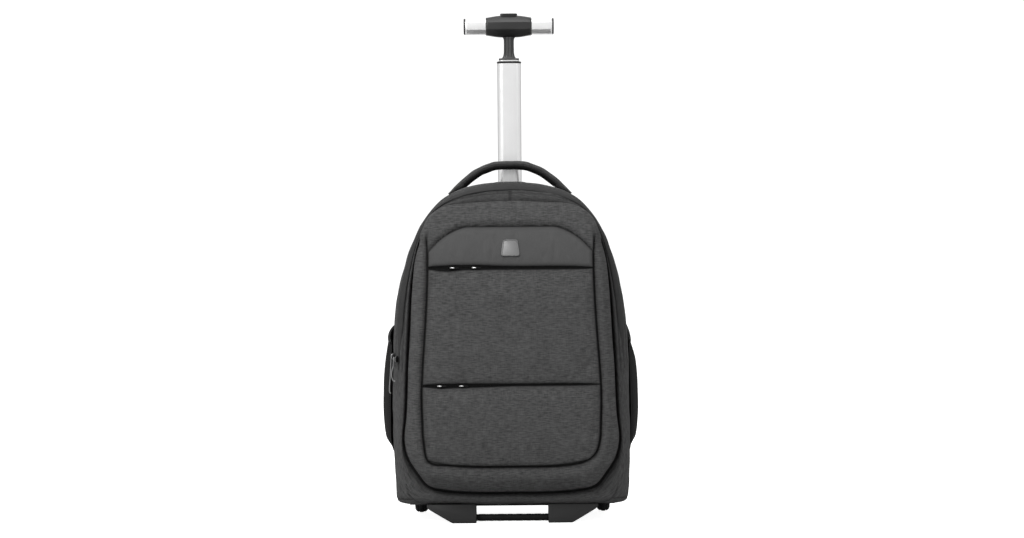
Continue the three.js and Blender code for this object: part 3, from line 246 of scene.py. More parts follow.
def face_rise(x, z):
    up = (z - BASE_Z) / BAG_HEIGHT
    across = np.clip(np.abs(x) / (HALF_WIDTH * 0.74), 0, 1)
    swell = np.sin(np.pi * np.clip((up - 0.06) / 0.88, 0, 1))
    return FRONT_RISE * along(FACE_PROFILE, "up", "rise", up) + FACE_CROWN * swell * (1 - across**2)


def face_y(x, z):
    """The face of the front compartment at a place seen from the front."""
    return DIVIDER_Y - SEAM_GAP - FRONT_UPSTAND - GUSSET_PROFILE["rise"][-1] * face_rise(x, z)


def ripples(points, wave, seed, stretch=(1, 1, 1)):
    """Smooth unevenness between about -1 and 1, from a fixed set of sine waves."""
    rng = np.random.default_rng(seed)
    total = np.zeros(len(points))
    for _ in range(7):
        way = rng.normal(size=3)
        way /= np.linalg.norm(way)
        size = wave * rng.uniform(0.7, 1.5)
        phase = rng.uniform(0, 2 * np.pi)
        total += np.sin(2 * np.pi * (points * stretch) @ way / size + phase)
    return total / 4


# Mesh code: every builder returns its points and its faces
def through_rings(rings, closed=False, caps=True):
    """Faces through rings of equal length, which turn anticlockwise round their way."""
    rings = np.asarray(rings, float)
    count, around = rings.shape[:2]
    i = np.arange(around)
    j = (i + 1) % around
    faces = []
    for r in range(count if closed else count - 1):
        a, b = r * around, ((r + 1) % count) * around
        faces += np.stack([a + i, a + j, b + j, b + i], 1).tolist()
    points = rings.reshape(-1, 3)
    if caps and not closed:
        faces.append(list(range(around - 1, -1, -1)))
        faces.append(list(range((count - 1) * around, count * around)))
    return points, faces


def grid(rows):
    """Faces over rows of points, anticlockwise where columns and rows turn so."""
    rows = np.asarray(rows, float)
    height, across = rows.shape[:2]
    r, c = np.meshgrid(np.arange(height - 1), np.arange(across - 1), indexing="ij")
    a = (r * across + c).ravel()
    faces = np.stack([a, a + 1, a + across + 1, a + across], 1).tolist()
    return rows.reshape(-1, 3), faces


def joined(*parts):
    points, faces, start = [], [], 0
    for part_points, part_faces in parts:
        points.append(np.asarray(part_points, float))
        faces += [[i + start for i in face] for face in part_faces]
        start += len(part_points)
    return np.vstack(points), faces


def normals_of(points, faces):
    """Unit normals at the points of quads and triangles."""
    total = np.zeros_like(points)
    for size in (3, 4):
        chosen = np.array([f for f in faces if len(f) == size], int)
        if len(chosen):
            a, b, c, d = (points[chosen[:, k]] for k in (0, 1, 2, -1))
            n = np.cross(b - a, c - a) if size == 3 else np.cross(c - a, d - b)
            for k in range(size):
                np.add.at(total, chosen[:, k], n)
    length = np.linalg.norm(total, axis=1, keepdims=True)
    return total / np.maximum(length, 1e-12)


def thickened(points, faces, other):
    """A closed body from a sheet and the places of its other side."""
    count = len(points)
    edges = {}
    for face in faces:
        for a, b in zip(face, face[1:] + face[:1]):
            edges[(a, b)] = True
    rim = [(a, b) for a, b in edges if (b, a) not in edges]
    back = [[i + count for i in reversed(face)] for face in faces]
    sides = [[b, a, a + count, b + count] for a, b in rim]
    return np.vstack([points, other]), faces + back + sides


def rounded(corners, radius, arc=4):
    """A flat loop through corners, each rounded by a radius."""
    corners = np.array(corners, float)
    loop = []
    for before, at, after in zip(np.roll(corners, 1, 0), corners, np.roll(corners, -1, 0)):
        a = (before - at) / np.linalg.norm(before - at)
        b = (after - at) / np.linalg.norm(after - at)
        half = math.acos(np.clip(a @ b, -1, 1)) / 2
        reach = radius / math.tan(half)
        middle = (a + b) / np.linalg.norm(a + b)
        centre = at + middle * radius / math.sin(half)
        start, end = at + a * reach - centre, at + b * reach - centre
        sweep = math.atan2(np.cross(start, end), start @ end)
        for k in range(arc + 1):
            c, s = math.cos(sweep * k / arc), math.sin(sweep * k / arc)
            loop.append(centre + (c * start[0] - s * start[1], s * start[0] + c * start[1]))
    return np.array(loop)


def rectangle(width, depth, radius, arc=5):
    w, d = width / 2, depth / 2
    return rounded([(-w, -d), (w, -d), (w, d), (-w, d)], min(radius, w - 0.01, d - 0.01), arc)


def oval(width, height, sides, square=1.0):
    a = 2 * np.pi * (np.arange(sides) + 0.5) / sides
    c, s = np.cos(a), np.sin(a)
    return np.stack(
        [np.sign(c) * np.abs(c) ** square * width / 2, np.sign(s) * np.abs(s) ** square * height / 2], 1
    )


def octagon(width, height, flat, radius):
    """A flat loop with bevelled corners: flat is the height of its two upright sides."""
    w, h = width / 2, height / 2
    cut = h - flat / 2
    corners = [
        (w - cut, -h), (w, -h + cut), (w, h - cut), (w - cut, h),
        (-w + cut, h), (-w, h - cut), (-w, -h + cut), (-w + cut, -h),
    ]
    return rounded(corners, radius, 3)


def inset(loop, amount):
    """A flat loop moved inwards by an amount."""
    way = np.roll(loop, -1, 0) - np.roll(loop, 1, 0)
    way /= np.linalg.norm(way, axis=1, keepdims=True)
    return loop + np.stack([-way[:, 1], way[:, 0]], 1) * amount


def at_height(loop, z):
    return np.column_stack([loop, np.full(len(loop), z)])


def prism(loop, low, high, bevel=0.6, steps=3):
    """A post over a flat loop with rounded ends."""
    rings = []
    for k in range(steps + 1):
        a = math.pi / 2 * k / steps
        rings.append(at_height(inset(loop, bevel * (1 - math.sin(a))), low + bevel * (1 - math.cos(a))))
    top = [r * (1, 1, -1) + (0, 0, low + high) for r in rings[::-1]]
    return through_rings(rings + top)


def sleeve(outer, inner, low, high, bevel=0.5):
    """A hollow post between two flat loops of equal length."""
    rings = [
        at_height(inset(outer, bevel), low),
        at_height(outer, low + bevel),
        at_height(outer, high - bevel),
        at_height(inset(outer, bevel), high),
        at_height(inset(inner, -bevel / 2), high),
        at_height(inner, high - bevel),
        at_height(inner, low + bevel),
        at_height(inset(inner, -bevel / 2), low),
    ]
    return through_rings(rings, closed=True)


def lathe(profile, segments):
    """A closed profile of (radius, side) pairs turned about the X axis."""
    profile = np.array(profile, float)
    a = 2 * np.pi * np.arange(segments) / segments
    rings = [
        np.column_stack([profile[:, 1], profile[:, 0] * math.cos(t), profile[:, 0] * math.sin(t)]) for t in a
    ]
    return through_rings(rings, closed=True)


X, Y, Z = np.eye(3)


def based(part, x_way, y_way, z_way, at=(0, 0, 0)):
    """A part with its own axes turned to three ways and its origin at a place."""
    points, faces = part
    return np.asarray(points) @ np.array([x_way, y_way, z_way], float) + np.array(at, float), faces


def shifted(part, at):
    return part[0] + np.array(at, float), part[1]


def unit(v):
    v = np.asarray(v, float)
    return v / np.linalg.norm(v, axis=-1, keepdims=True)


def swept(path, across, width, thick, section, closed=False):
    """A flat section of width and thickness 2 swept along a path."""
    path = np.asarray(path, float)
    if closed:
        way = np.roll(path, -1, 0) - np.roll(path, 1, 0)
    else:
        way = np.gradient(path, axis=0)
    way = unit(way)
    across = np.broadcast_to(np.asarray(across, float), path.shape)
    across = unit(across - (across * way).sum(1, keepdims=True) * way)
    off = np.cross(way, across)
    width = np.broadcast_to(width, len(path))[:, None, None] / 2
    thick = np.broadcast_to(thick, len(path))[:, None, None] / 2
    rings = (
        path[:, None, :]
        + across[:, None, :] * section[None, :, :1] * width
        + off[:, None, :] * section[None, :, 1:2] * thick
    )
    return through_rings(rings, closed)


def cross_free(path, closed):
    """Ways across a path that don't twist along it."""
    way = unit(np.roll(path, -1, 0) - np.roll(path, 1, 0)) if closed else unit(np.gradient(path, axis=0))
    first = Z if abs(way[0] @ Z) < 0.9 else X
    across = [unit(first - (first @ way[0]) * way[0])]
    for w in way[1:]:
        last = across[-1]
        across.append(unit(last - (last @ w) * w))
    return np.array(across)


def wire(path, radius, sides=8, closed=False):
    path = np.asarray(path, float)
    return swept(path, cross_free(path, closed), 2 * radius, 2 * radius, oval(2, 2, sides), closed)


def resampled(path, pitch, closed=False):
    """Places on a path at even steps near a pitch, and its ways there."""
    path = np.asarray(path, float)
    if closed:
        path = np.vstack([path, path[:1]])
    length = np.concatenate([[0], np.cumsum(np.linalg.norm(np.diff(path, axis=0), axis=1))])
    count = max(2, int(round(length[-1] / pitch)))
    at = (np.arange(count) + 0.5) / count * length[-1]
    pick = lambda s: np.stack([np.interp(s, length, path[:, k]) for k in range(3)], 1)
    return pick(at), unit(pick(at + 0.3) - pick(at - 0.3))


def repeated(template, places, ways, ups):
    """Copies of a small part along a path: its X along the way, its Z up from the surface."""
    points, faces = template
    count = len(points)
    ups = np.broadcast_to(np.asarray(ups, float), ways.shape)
    side = unit(np.cross(ups, ways))
    up = np.cross(ways, side)
    made = (
        places[:, None, :]
        + ways[:, None, :] * points[None, :, 0:1]
        + side[:, None, :] * points[None, :, 1:2]
        + up[:, None, :] * points[None, :, 2:3]
    )
    all_faces = [[i + k * count for i in face] for k in range(len(places)) for face in faces]
    return made.reshape(-1, 3), all_faces


def capsule(length, width, thick, sides=6):
    """A small rounded bar along X."""
    shares = columns("out size", (-1, 0.3), (-0.72, 0.85), (0, 1), (0.72, 0.85), (1, 0.3))
    ring = oval(1, 1, sides)
    rings = [
        np.column_stack([np.full(sides, out * length / 2), ring * (width * size, thick * size)])
        for out, size in zip(shares["out"], shares["size"])
    ]
    return through_rings(rings)


STITCH_PITCH = 3.1
STITCH = capsule(2.3, 0.6, 0.55)


def stitched(path, ups, closed=False):
    places, ways = resampled(path, STITCH_PITCH, closed)
    return repeated(STITCH, places, ways, ups)


# Materials
def node(tree, kind, inputs=None, **settings):
    made = tree.nodes.new(kind)
    for key, value in settings.items():
        setattr(made, key, value)
    for key, value in (inputs or {}).items():
        if isinstance(value, bpy.types.NodeSocket):
            tree.links.new(value, made.inputs[key])
        else:
            made.inputs[key].default_value = value
    return made


def math_of(tree, operation, *values):
    return node(tree, "ShaderNodeMath", dict(enumerate(values)), operation=operation).outputs[0]


def mixed(tree, share, a, b):
    """Colour mix, where a and b are colours or colour sockets."""
    made = node(tree, "ShaderNodeMix", data_type="RGBA")
    for index, value in ((0, share), (6, a), (7, b)):
        if isinstance(value, bpy.types.NodeSocket):
            tree.links.new(value, made.inputs[index])
        else:
            made.inputs[index].default_value = value
    return made.outputs[2]


def grey(value, warm=0.0):
    return (value * (1 + warm), value, value * (1 - warm), 1)


def noise_of(tree, vector, scale, detail=2.0, rough=0.5):
    return node(
        tree,
        "ShaderNodeTexNoise",
        {"Vector": vector, "Scale": scale, "Detail": detail, "Roughness": rough},
    ).outputs["Fac"]


def scaled(tree, vector, scale):
    return node(tree, "ShaderNodeMapping", {"Vector": vector, "Scale": scale}).outputs[0]


def stretched_to(tree, value, low, high):
    """A socket's middle range mapped to 0..1."""
    return node(
        tree,
        "ShaderNodeMapRange",
        {"Value": value, "From Min": low, "From Max": high, "To Min": 0.0, "To Max": 1.0},
    ).outputs[0]


def surface(name, roughness, metallic=0.0, **sockets):
    """A new material with its tree and its shader."""
    material = bpy.data.materials.new(name)
    material.use_nodes = True
    tree = material.node_tree
    shader = tree.nodes["Principled BSDF"]
    shader.inputs["Roughness"].default_value = roughness
    shader.inputs["Metallic"].default_value = metallic
    for key, value in sockets.items():
        shader.inputs[key.replace("_", " ")].default_value = value
    return material, tree, shader


def bumped(tree, shader, height, strength, distance):
    bump = node(tree, "ShaderNodeBump", {"Height": height, "Strength": strength, "Distance": distance})
    tree.links.new(bump.outputs[0], shader.inputs["Normal"])


def weave_place(tree):
    """The cloth's own two directions in metres, stored on its mesh."""
    made = node(tree, "ShaderNodeAttribute", attribute_name="weave", attribute_type="GEOMETRY")
    return made.outputs["Vector"]


def seam_lines_and_painted_shade(tree, shader, colour):
    """The cloth's or plastic's colour, mixed towards near-black by the seam value stored on the mesh: dark
    seam lines, and painted shade in creases, grooves, recesses and on faces turned from the light.
    """
    depth = node(tree, "ShaderNodeAttribute", attribute_name="seam", attribute_type="GEOMETRY")
    tree.links.new(mixed(tree, depth.outputs["Fac"], colour, grey(0.002)), shader.inputs["Base Color"])


def parted(tree, vector):
    made = node(tree, "ShaderNodeSeparateXYZ", {0: vector})
    return made.outputs[0], made.outputs[1]


def combined(tree, x, y, z=0.0):
    return node(tree, "ShaderNodeCombineXYZ", {0: x, 1: y, 2: z}).outputs[0]


def plain_weave(tree, place_socket, pitch):
    """Height and yarn tone of a plain weave whose yarns are unevenly dyed."""
    u, v = parted(tree, place_socket)
    row = {}
    for key, value in (("u", u), ("v", v)):
        turns = math_of(tree, "DIVIDE", value, pitch)
        row[key] = (math_of(tree, "FLOOR", turns), math_of(tree, "FRACT", turns))
    parity = math_of(tree, "PINGPONG", math_of(tree, "ADD", row["u"][0], row["v"][0]), 1.0)
    crown = {k: math_of(tree, "SINE", math_of(tree, "MULTIPLY", row[k][1], math.pi)) for k in row}
    weft = noise_of(tree, combined(tree, math_of(tree, "MULTIPLY", u, 90.0), row["v"][0], 3.1), 1.0, 1.0)
    warp = noise_of(tree, combined(tree, row["u"][0], math_of(tree, "MULTIPLY", v, 90.0), 8.3), 1.0, 1.0)
    chosen = node(tree, "ShaderNodeMix", {0: parity, 2: crown["u"], 3: crown["v"]}, data_type="FLOAT")
    tone = node(tree, "ShaderNodeMix", {0: parity, 2: warp, 3: weft}, data_type="FLOAT")
    return chosen.outputs[0], tone.outputs[0]


def heather(name, dark, light, pitch=0.0008):
    material, tree, shader = surface(name, 0.9, Specular_IOR_Level=0.12)
    place_socket = weave_place(tree)
    height, yarn = plain_weave(tree, place_socket, pitch)
    slubs = noise_of(tree, scaled(tree, place_socket, (110, 560, 1)), 1.0, 3.0, 0.6)
    patches = noise_of(tree, scaled(tree, place_socket, (34, 60, 1)), 1.0, 3.0, 0.6)
    tone = math_of(tree, "ADD", math_of(tree, "MULTIPLY", yarn, 0.3), math_of(tree, "MULTIPLY", slubs, 0.55))
    tone = math_of(tree, "ADD", tone, math_of(tree, "MULTIPLY", patches, 0.15))
    tone = stretched_to(tree, tone, 0.39, 0.61)
    seam_lines_and_painted_shade(tree, shader, mixed(tree, tone, grey(dark), grey(light)))
    bumped(tree, shader, height, 0.5, 0.0004)
    return material


def smooth_cloth(name, dark, light, roughness=0.62, pitch=0.0005):
    """A tight twill: fine slanting ribs."""
    material, tree, shader = surface(name, roughness, Specular_IOR_Level=0.15)
    place_socket = weave_place(tree)
    u, v = parted(tree, place_socket)
    across = math_of(tree, "MULTIPLY", u, 2 * math.pi / pitch)
    slant = math_of(tree, "ADD", across, math_of(tree, "MULTIPLY", v, math.pi / pitch))
    rib = math_of(tree, "SINE", slant)
    cloud = noise_of(tree, scaled(tree, place_socket, (60, 60, 1)), 1.0, 4.0, 0.6)
    seam_lines_and_painted_shade(tree, shader, mixed(tree, stretched_to(tree, cloud, 0.3, 0.7), grey(dark), grey(light)))
    bumped(tree, shader, math_of(tree, "ADD", rib, cloud), 0.25, 0.0002)
    return material


def mesh_cloth(name, yarn, hole, pitch=0.0026):
    """Knitted mesh: a net of six-sided holes over a dark ground."""
    material, tree, shader = surface(name, 0.85, Specular_IOR_Level=0.1)
    u, v = parted(tree, weave_place(tree))
    turn = 2 * math.pi / pitch
    total = None
    for a, b in ((1, 0), (0.5, 0.866), (0.5, -0.866)):
        across = math_of(tree, "MULTIPLY", u, a * turn)
        wave = math_of(tree, "COSINE", math_of(tree, "ADD", across, math_of(tree, "MULTIPLY", v, b * turn)))
        total = wave if total is None else math_of(tree, "ADD", total, wave)
    net = stretched_to(tree, total, 1.4, -0.4)
    tree.links.new(mixed(tree, net, grey(hole), grey(yarn)), shader.inputs["Base Color"])
    bumped(tree, shader, net, 0.8, 0.0006)
    return material


def webbing_cloth(name, dark, light, rib=0.0016):
    """Woven tape: fine ribs in a herringbone."""
    material, tree, shader = surface(name, 0.75, Specular_IOR_Level=0.15)
    u, v = parted(tree, weave_place(tree))
    fold = math_of(tree, "PINGPONG", u, 0.004)
    wave = math_of(tree, "SINE", math_of(tree, "MULTIPLY", math_of(tree, "ADD", v, fold), 2 * math.pi / rib))
    share = stretched_to(tree, wave, -1.0, 1.0)
    tree.links.new(mixed(tree, share, grey(dark), grey(light)), shader.inputs["Base Color"])
    bumped(tree, shader, wave, 0.5, 0.0003)
    return material


def object_place(tree):
    return node(tree, "ShaderNodeTexCoord").outputs["Object"]


def roughened(tree, shader, value, source, result):
    """A roughness that follows a socket, from one range to another."""
    low, high = source
    least, most = result
    made = node(
        tree,
        "ShaderNodeMapRange",
        {"Value": value, "From Min": low, "From Max": high, "To Min": least, "To Max": most},
    )
    tree.links.new(made.outputs[0], shader.inputs["Roughness"])


def moulded(name, dark, light, roughness=0.45, grain=2600.0, wear=0.3, **sockets):
    """Moulded plastic or rubber: fine spark grain, faint clouds and paler worn edges."""
    material, tree, shader = surface(name, roughness, **sockets)
    place_socket = object_place(tree)
    fine = noise_of(tree, place_socket, grain, 2.0)
    cloud = noise_of(tree, place_socket, 35.0, 4.0, 0.6)
    edge = node(tree, "ShaderNodeNewGeometry").outputs["Pointiness"]
    worn = math_of(tree, "MULTIPLY", stretched_to(tree, edge, 0.51, 0.58), wear)
    base = mixed(tree, cloud, grey(dark), grey(light))
    seam_lines_and_painted_shade(tree, shader, mixed(tree, worn, base, grey(light * 2.2)))
    roughened(tree, shader, cloud, (0.3, 0.7), (roughness - 0.06, roughness + 0.08))
    bumped(tree, shader, fine, 0.18, 0.00012)
    return material


def brushed(name, value, roughness, grain, metallic=1.0, depth=0.08):
    """Brushed or drawn metal: fine lines along the length and faint handling marks."""
    material, tree, shader = surface(name, roughness, metallic)
    place_socket = object_place(tree)
    lines = noise_of(tree, scaled(tree, place_socket, grain), 1.0, 3.0)
    marks = noise_of(tree, place_socket, 40.0, 5.0, 0.7)
    tree.links.new(mixed(tree, lines, grey(value * 0.95), grey(value)), shader.inputs["Base Color"])
    roughened(tree, shader, marks, (0.35, 0.7), (roughness - 0.03, roughness + 0.03))
    bumped(tree, shader, lines, depth, 0.00002)
    return material


HEATHER = heather("heather_cloth", 0.036, 0.082)
HEATHER_SIDE = heather("heather_side", 0.038, 0.076)
YOKE_CLOTH = smooth_cloth("yoke_cloth", 0.054, 0.06)
FLAP_CLOTH = smooth_cloth("flap_cloth", 0.024, 0.03)
UNDER_CLOTH = smooth_cloth("under_cloth", 0.008, 0.011)
BACK_CLOTH = smooth_cloth("back_cloth", 0.03, 0.042, 0.8)
MESH_CLOTH = mesh_cloth("mesh_cloth", 0.016, 0.003)
AIR_MESH = mesh_cloth("air_mesh", 0.04, 0.008, 0.0034)
WEBBING = webbing_cloth("webbing", 0.01, 0.018)
THREAD = smooth_cloth("thread", 0.03, 0.045)
# Zip tape and coil: black, and darker still as painted shade in the recessed slots
BLACK_SHADED_ZIP_TAPE = webbing_cloth("black_shaded_zip_tape", 0.001, 0.002, 0.001)
BLACK_SHADED_ZIP_COIL = moulded("black_shaded_zip_coil", 0.001, 0.002, 0.5, Specular_IOR_Level=0.1)
PLASTIC = moulded("grey_plastic", 0.013, 0.018, 0.55, Specular_IOR_Level=0.2)
BAR_PLASTIC = moulded("bar_plastic", 0.005, 0.008, 0.6, wear=0.05, Specular_IOR_Level=0.12)
DARK_PLASTIC = moulded("dark_plastic", 0.007, 0.01, 0.42, wear=0.1, Specular_IOR_Level=0.3)
GRIP_PLASTIC = moulded("grip_plastic", 0.007, 0.01, 0.34, wear=0.1, Specular_IOR_Level=0.6)
NECK_PLASTIC = moulded("neck_plastic", 0.034, 0.044, 0.4, wear=0.3, Specular_IOR_Level=0.4)
RUBBER = moulded("rubber", 0.022, 0.03, 0.8, grain=1200.0, wear=0.1, Specular_IOR_Level=0.2)
SILVER = brushed("silver_metal", 0.92, 0.34, (500, 500, 3))
SILVER_SIDEWAYS = brushed("silver_sideways", 0.94, 0.34, (3, 200, 200))
GUNMETAL = brushed("gunmetal", 0.3, 0.32, (300, 300, 300))
GLINT_METAL = brushed("glint_metal", 0.85, 0.3, (300, 300, 300))
BLACK_METAL = brushed("black_metal", 0.02, 0.4, (300, 300, 300))
BADGE_METAL = brushed("badge_metal", 0.2, 0.45, (3, 200, 200))


def finished(obj, body, replaced=()):
    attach(obj, body)
    if replaced:
        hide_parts(*([replaced] if isinstance(replaced, str) else replaced))
    return obj


def piece(name, part, material, body, replaced=(), weave=None, seam=None, sharp=40, subdivide=0):
    """A new mesh object, with the cloth's directions and its seam value stored on its points: the darkness of
    seam lines and of painted shade.
    """
    points, faces = part
    mesh = bpy.data.meshes.new(name)
    mesh.from_pydata(place(points).tolist(), [], faces)
    if weave is not None:
        attribute = mesh.attributes.new("weave", "FLOAT_VECTOR", "POINT")
        flat = np.column_stack([np.asarray(weave, float) * MM, np.zeros(len(points))])
        attribute.data.foreach_set("vector", flat.astype(np.float32).ravel())
    if seam is not None:
        attribute = mesh.attributes.new("seam", "FLOAT", "POINT")
        attribute.data.foreach_set("value", np.clip(seam, 0, 1).astype(np.float32))
    tidy = bmesh.new()
    tidy.from_mesh(mesh)
    bmesh.ops.recalc_face_normals(tidy, faces=tidy.faces)
    tidy.to_mesh(mesh)
    tidy.free()
    mesh.shade_smooth()
    mesh.set_sharp_from_angle(angle=math.radians(sharp))
    mesh.materials.append(material)
    obj = bpy.data.objects.new(name, mesh)
    bpy.context.scene.collection.objects.link(obj)
    if subdivide:
        modifier = obj.modifiers.new("fine", "SUBSURF")
        modifier.levels = modifier.render_levels = subdivide
        applied(obj)
    return finished(obj, body, replaced)


def applied(obj):
    """Puts the result of an object's modifiers into its mesh."""
    bpy.context.view_layer.update()
    seen = obj.evaluated_get(bpy.context.evaluated_depsgraph_get())
    mesh = bpy.data.meshes.new_from_object(seen)
    obj.modifiers.clear()
    old, obj.data = obj.data, mesh
    mesh.name = obj.name
    bpy.data.meshes.remove(old)


def swollen(points, faces, pinned, pressure, cap, slack, frames=20):
    """Cloth simulation of a sheet sewn down at its pinned points: it swells and wrinkles, up to a cap."""
    mesh = bpy.data.meshes.new("simulated")
    start = place(points)
    mesh.from_pydata(start.tolist(), [], faces)
    obj = bpy.data.objects.new("simulated", mesh)
    bpy.context.scene.collection.objects.link(obj)
    group = obj.vertex_groups.new(name="sewn")
    for weight in np.unique(np.round(pinned, 1)):
        if weight > 0:
            chosen = np.nonzero(np.abs(np.round(pinned, 1) - weight) < 1e-6)[0]
            group.add(chosen.tolist(), float(weight), "REPLACE")
    cloth = obj.modifiers.new("cloth", "CLOTH")
    settings = cloth.settings
    settings.quality = 4
    settings.mass = 0.3
    settings.tension_stiffness = 12
    settings.compression_stiffness = 12
    settings.shear_stiffness = 4
    settings.bending_stiffness = 0.35
    settings.air_damping = 2
    settings.shrink_min = -slack
    settings.use_pressure = True
    settings.uniform_pressure_force = pressure
    settings.vertex_group_mass = "sewn"
    settings.effector_weights.gravity = 0
    cloth.collision_settings.use_collision = False
    cloth.point_cache.frame_start = 1
    cloth.point_cache.frame_end = frames
    scene = bpy.context.scene
    for number in range(1, frames + 1):
        scene.frame_set(number)
    seen = obj.evaluated_get(bpy.context.evaluated_depsgraph_get())
    found = np.empty(len(seen.data.vertices) * 3, np.float32)
    seen.data.vertices.foreach_get("co", found)
    scene.frame_set(1)
    bpy.data.objects.remove(obj)
    moved = (found.reshape(-1, 3).astype(float) - start) / MM
    length = np.maximum(np.linalg.norm(moved, axis=1, keepdims=True), 1e-9)
    return points + moved * (cap * np.tanh(length / cap) / length)


def cut_by(obj, *tools):
    """Cuts closed tool bodies out of a piece."""
    for points, faces in tools:
        mesh = bpy.data.meshes.new("tool")
        mesh.from_pydata(place(points).tolist(), [], faces)
        tool = bpy.data.objects.new("tool", mesh)
        bpy.context.scene.collection.objects.link(tool)
        modifier = obj.modifiers.new("cut", "BOOLEAN")
        modifier.operation = "DIFFERENCE"
        modifier.solver = "EXACT"
        modifier.object = tool
        applied(obj)
        bpy.data.objects.remove(tool)
    obj.data.set_sharp_from_angle(angle=math.radians(50))


# Camera, stage and light
FLOOR_REACH = 30
WORLD_BACK = 0.3
WORLD_FRONT = 0.85
WORLD_SEEN = 1.1
FLOOR_GLOW = 0.92
LIGHTS = (
    ("key_light", (-1.6, -1.8, 2.2), 1.4, 64),
    ("fill_light", (1.6, -1.4, 1.8), 1.4, 5),
    ("top_light", (0.0, -0.5, 2.9), 1.2, 12),
    ("back_light", (0.0, 2.0, 2.2), 1.6, 26),
)


def camera_and_stage():
    data = bpy.data.cameras.new("camera")
    data.lens = CAMERA_LENS
    data.sensor_width = CAMERA_SENSOR
    data.clip_start, data.clip_end = 0.05, 100
    camera = bpy.data.objects.new("camera", data)
    camera.matrix_world = (
        Matrix.Translation(Vector(place(CAMERA_AT)))
        @ Matrix.Rotation(math.pi / 2, 4, "X")
        @ Matrix.Rotation(math.radians(CAMERA_ROLL), 4, "Z")
    )
    bpy.context.scene.collection.objects.link(camera)
    bpy.context.scene.camera = camera

    material, tree, shader = surface("pale_floor", 0.95, Specular_IOR_Level=0.0)
    cloud = noise_of(tree, object_place(tree), 3.0, 3.0)
    tree.links.new(mixed(tree, cloud, grey(0.56), grey(0.6)), shader.inputs["Base Color"])
    shader.inputs["Emission Color"].default_value = (1, 1, 1, 1)
    seen = math_of(tree, "MULTIPLY", node(tree, "ShaderNodeLightPath").outputs["Is Camera Ray"], FLOOR_GLOW)
    tree.links.new(seen, shader.inputs["Emission Strength"])
    floor_mesh = bpy.data.meshes.new("floor")
    corners = [(-FLOOR_REACH, -FLOOR_REACH), (FLOOR_REACH, -FLOOR_REACH), (FLOOR_REACH, FLOOR_REACH)]
    corners = [(x, y, 0) for x, y in corners + [(-FLOOR_REACH, FLOOR_REACH)]]
    floor_mesh.from_pydata(corners, [], [(0, 1, 2, 3)])
    floor_mesh.materials.append(material)
    floor = bpy.data.objects.new("floor", floor_mesh)
    bpy.context.scene.collection.objects.link(floor)

    world = bpy.data.worlds.new("studio")
    world.use_nodes = True
    tree = world.node_tree
    way = node(tree, "ShaderNodeSeparateXYZ", {0: node(tree, "ShaderNodeTexCoord").outputs["Generated"]})
    front = node(
        tree,
        "ShaderNodeMapRange",
        {
            "Value": way.outputs[1], "From Min": 0.9, "From Max": 0.3,
            "To Min": WORLD_BACK, "To Max": WORLD_FRONT,
        },
    )
    camera_ray = node(tree, "ShaderNodeLightPath").outputs["Is Camera Ray"]
    strength = node(
        tree, "ShaderNodeMix", {0: camera_ray, 2: front.outputs[0], 3: WORLD_SEEN}, data_type="FLOAT"
    )
    tree.nodes["Background"].inputs["Color"].default_value = (1, 1, 1, 1)
    tree.links.new(strength.outputs[0], tree.nodes["Background"].inputs["Strength"])
    bpy.context.scene.world = world
    bpy.context.scene.view_settings.view_transform = "Standard"
    for name, at, size, watts in LIGHTS:
        light = bpy.data.lights.new(name, "AREA")
        light.shape = "DISK"
        light.size = size
        light.energy = watts
        lamp = bpy.data.objects.new(name, light)
        lamp.location = at
        lamp.rotation_mode = "QUATERNION"
        lamp.rotation_quaternion = (Vector((0, 0, 0.3)) - Vector(at)).to_track_quat("-Z", "Y")
        bpy.context.scene.collection.objects.link(lamp)


camera_and_stage()

# Main compartment
GUSSET_REACH = 30
STEPS_BACK = 26
STEPS_TURN = 44
steps = np.hypot(np.diff(MAIN_PROFILE["y"]), GUSSET_REACH * np.diff(MAIN_PROFILE["mix"]))
MAIN_PROFILE["length"] = np.concatenate([[0], np.cumsum(steps)])


def profile_point(length):
    return along(MAIN_PROFILE, "length", "y", length), along(MAIN_PROFILE, "length", "mix", length)


FLAP_UP = 0.43
FLAP_WIDTH = 12
FLAP_TOP_WIDTH = 19


def flap_width(turn):
    from_top = np.abs(turn - 0.5) * 4
    return FLAP_TOP_WIDTH + (FLAP_WIDTH - FLAP_TOP_WIDTH) * smoothstep(from_top, 0.15, 0.6)


def turn_at(up):
    """Place round the body's outline where its right side reaches a height, from 0 to 1."""
    z = height_at(up)
    i = int(np.argmax(BODY[:, 2] > z))
    share = (BODY[i, 2] - z) / (BODY[i, 2] - BODY[i - 1, 2])
    return (i - share) / AROUND


def ring_at(ring, turn):
    k = np.asarray(turn, float) * AROUND
    i = np.floor(k).astype(int)
    w = (k - i)[..., None]
    return ring[i % AROUND] * (1 - w) + ring[(i + 1) % AROUND] * w


def main_point(turn, mix):
    """The main compartment's turn to the front, at places round it and between its two outlines."""
    turn, mix = np.broadcast_arrays(np.asarray(turn, float), np.asarray(mix, float))
    bent = {k: v[2:] for k, v in MAIN_PROFILE.items()}
    w = mix[..., None]
    p = ring_at(BODY, turn) * (1 - w) + ring_at(GROOVE, turn) * w
    p[..., 1] = along(bent, "mix", "y", mix)
    return p


def main_normal(turn, mix):
    step = 0.01
    way = main_point(turn + step, mix) - main_point(turn - step, mix)
    forwards = main_point(turn, mix + step) - main_point(turn, mix - step)
    return unit(np.cross(way, forwards))


def zip_mix(turn):
    from_top = np.abs(turn - 0.5) * 4
    return 0.24 + 0.2 * smoothstep(from_top, 0.1, 0.75)


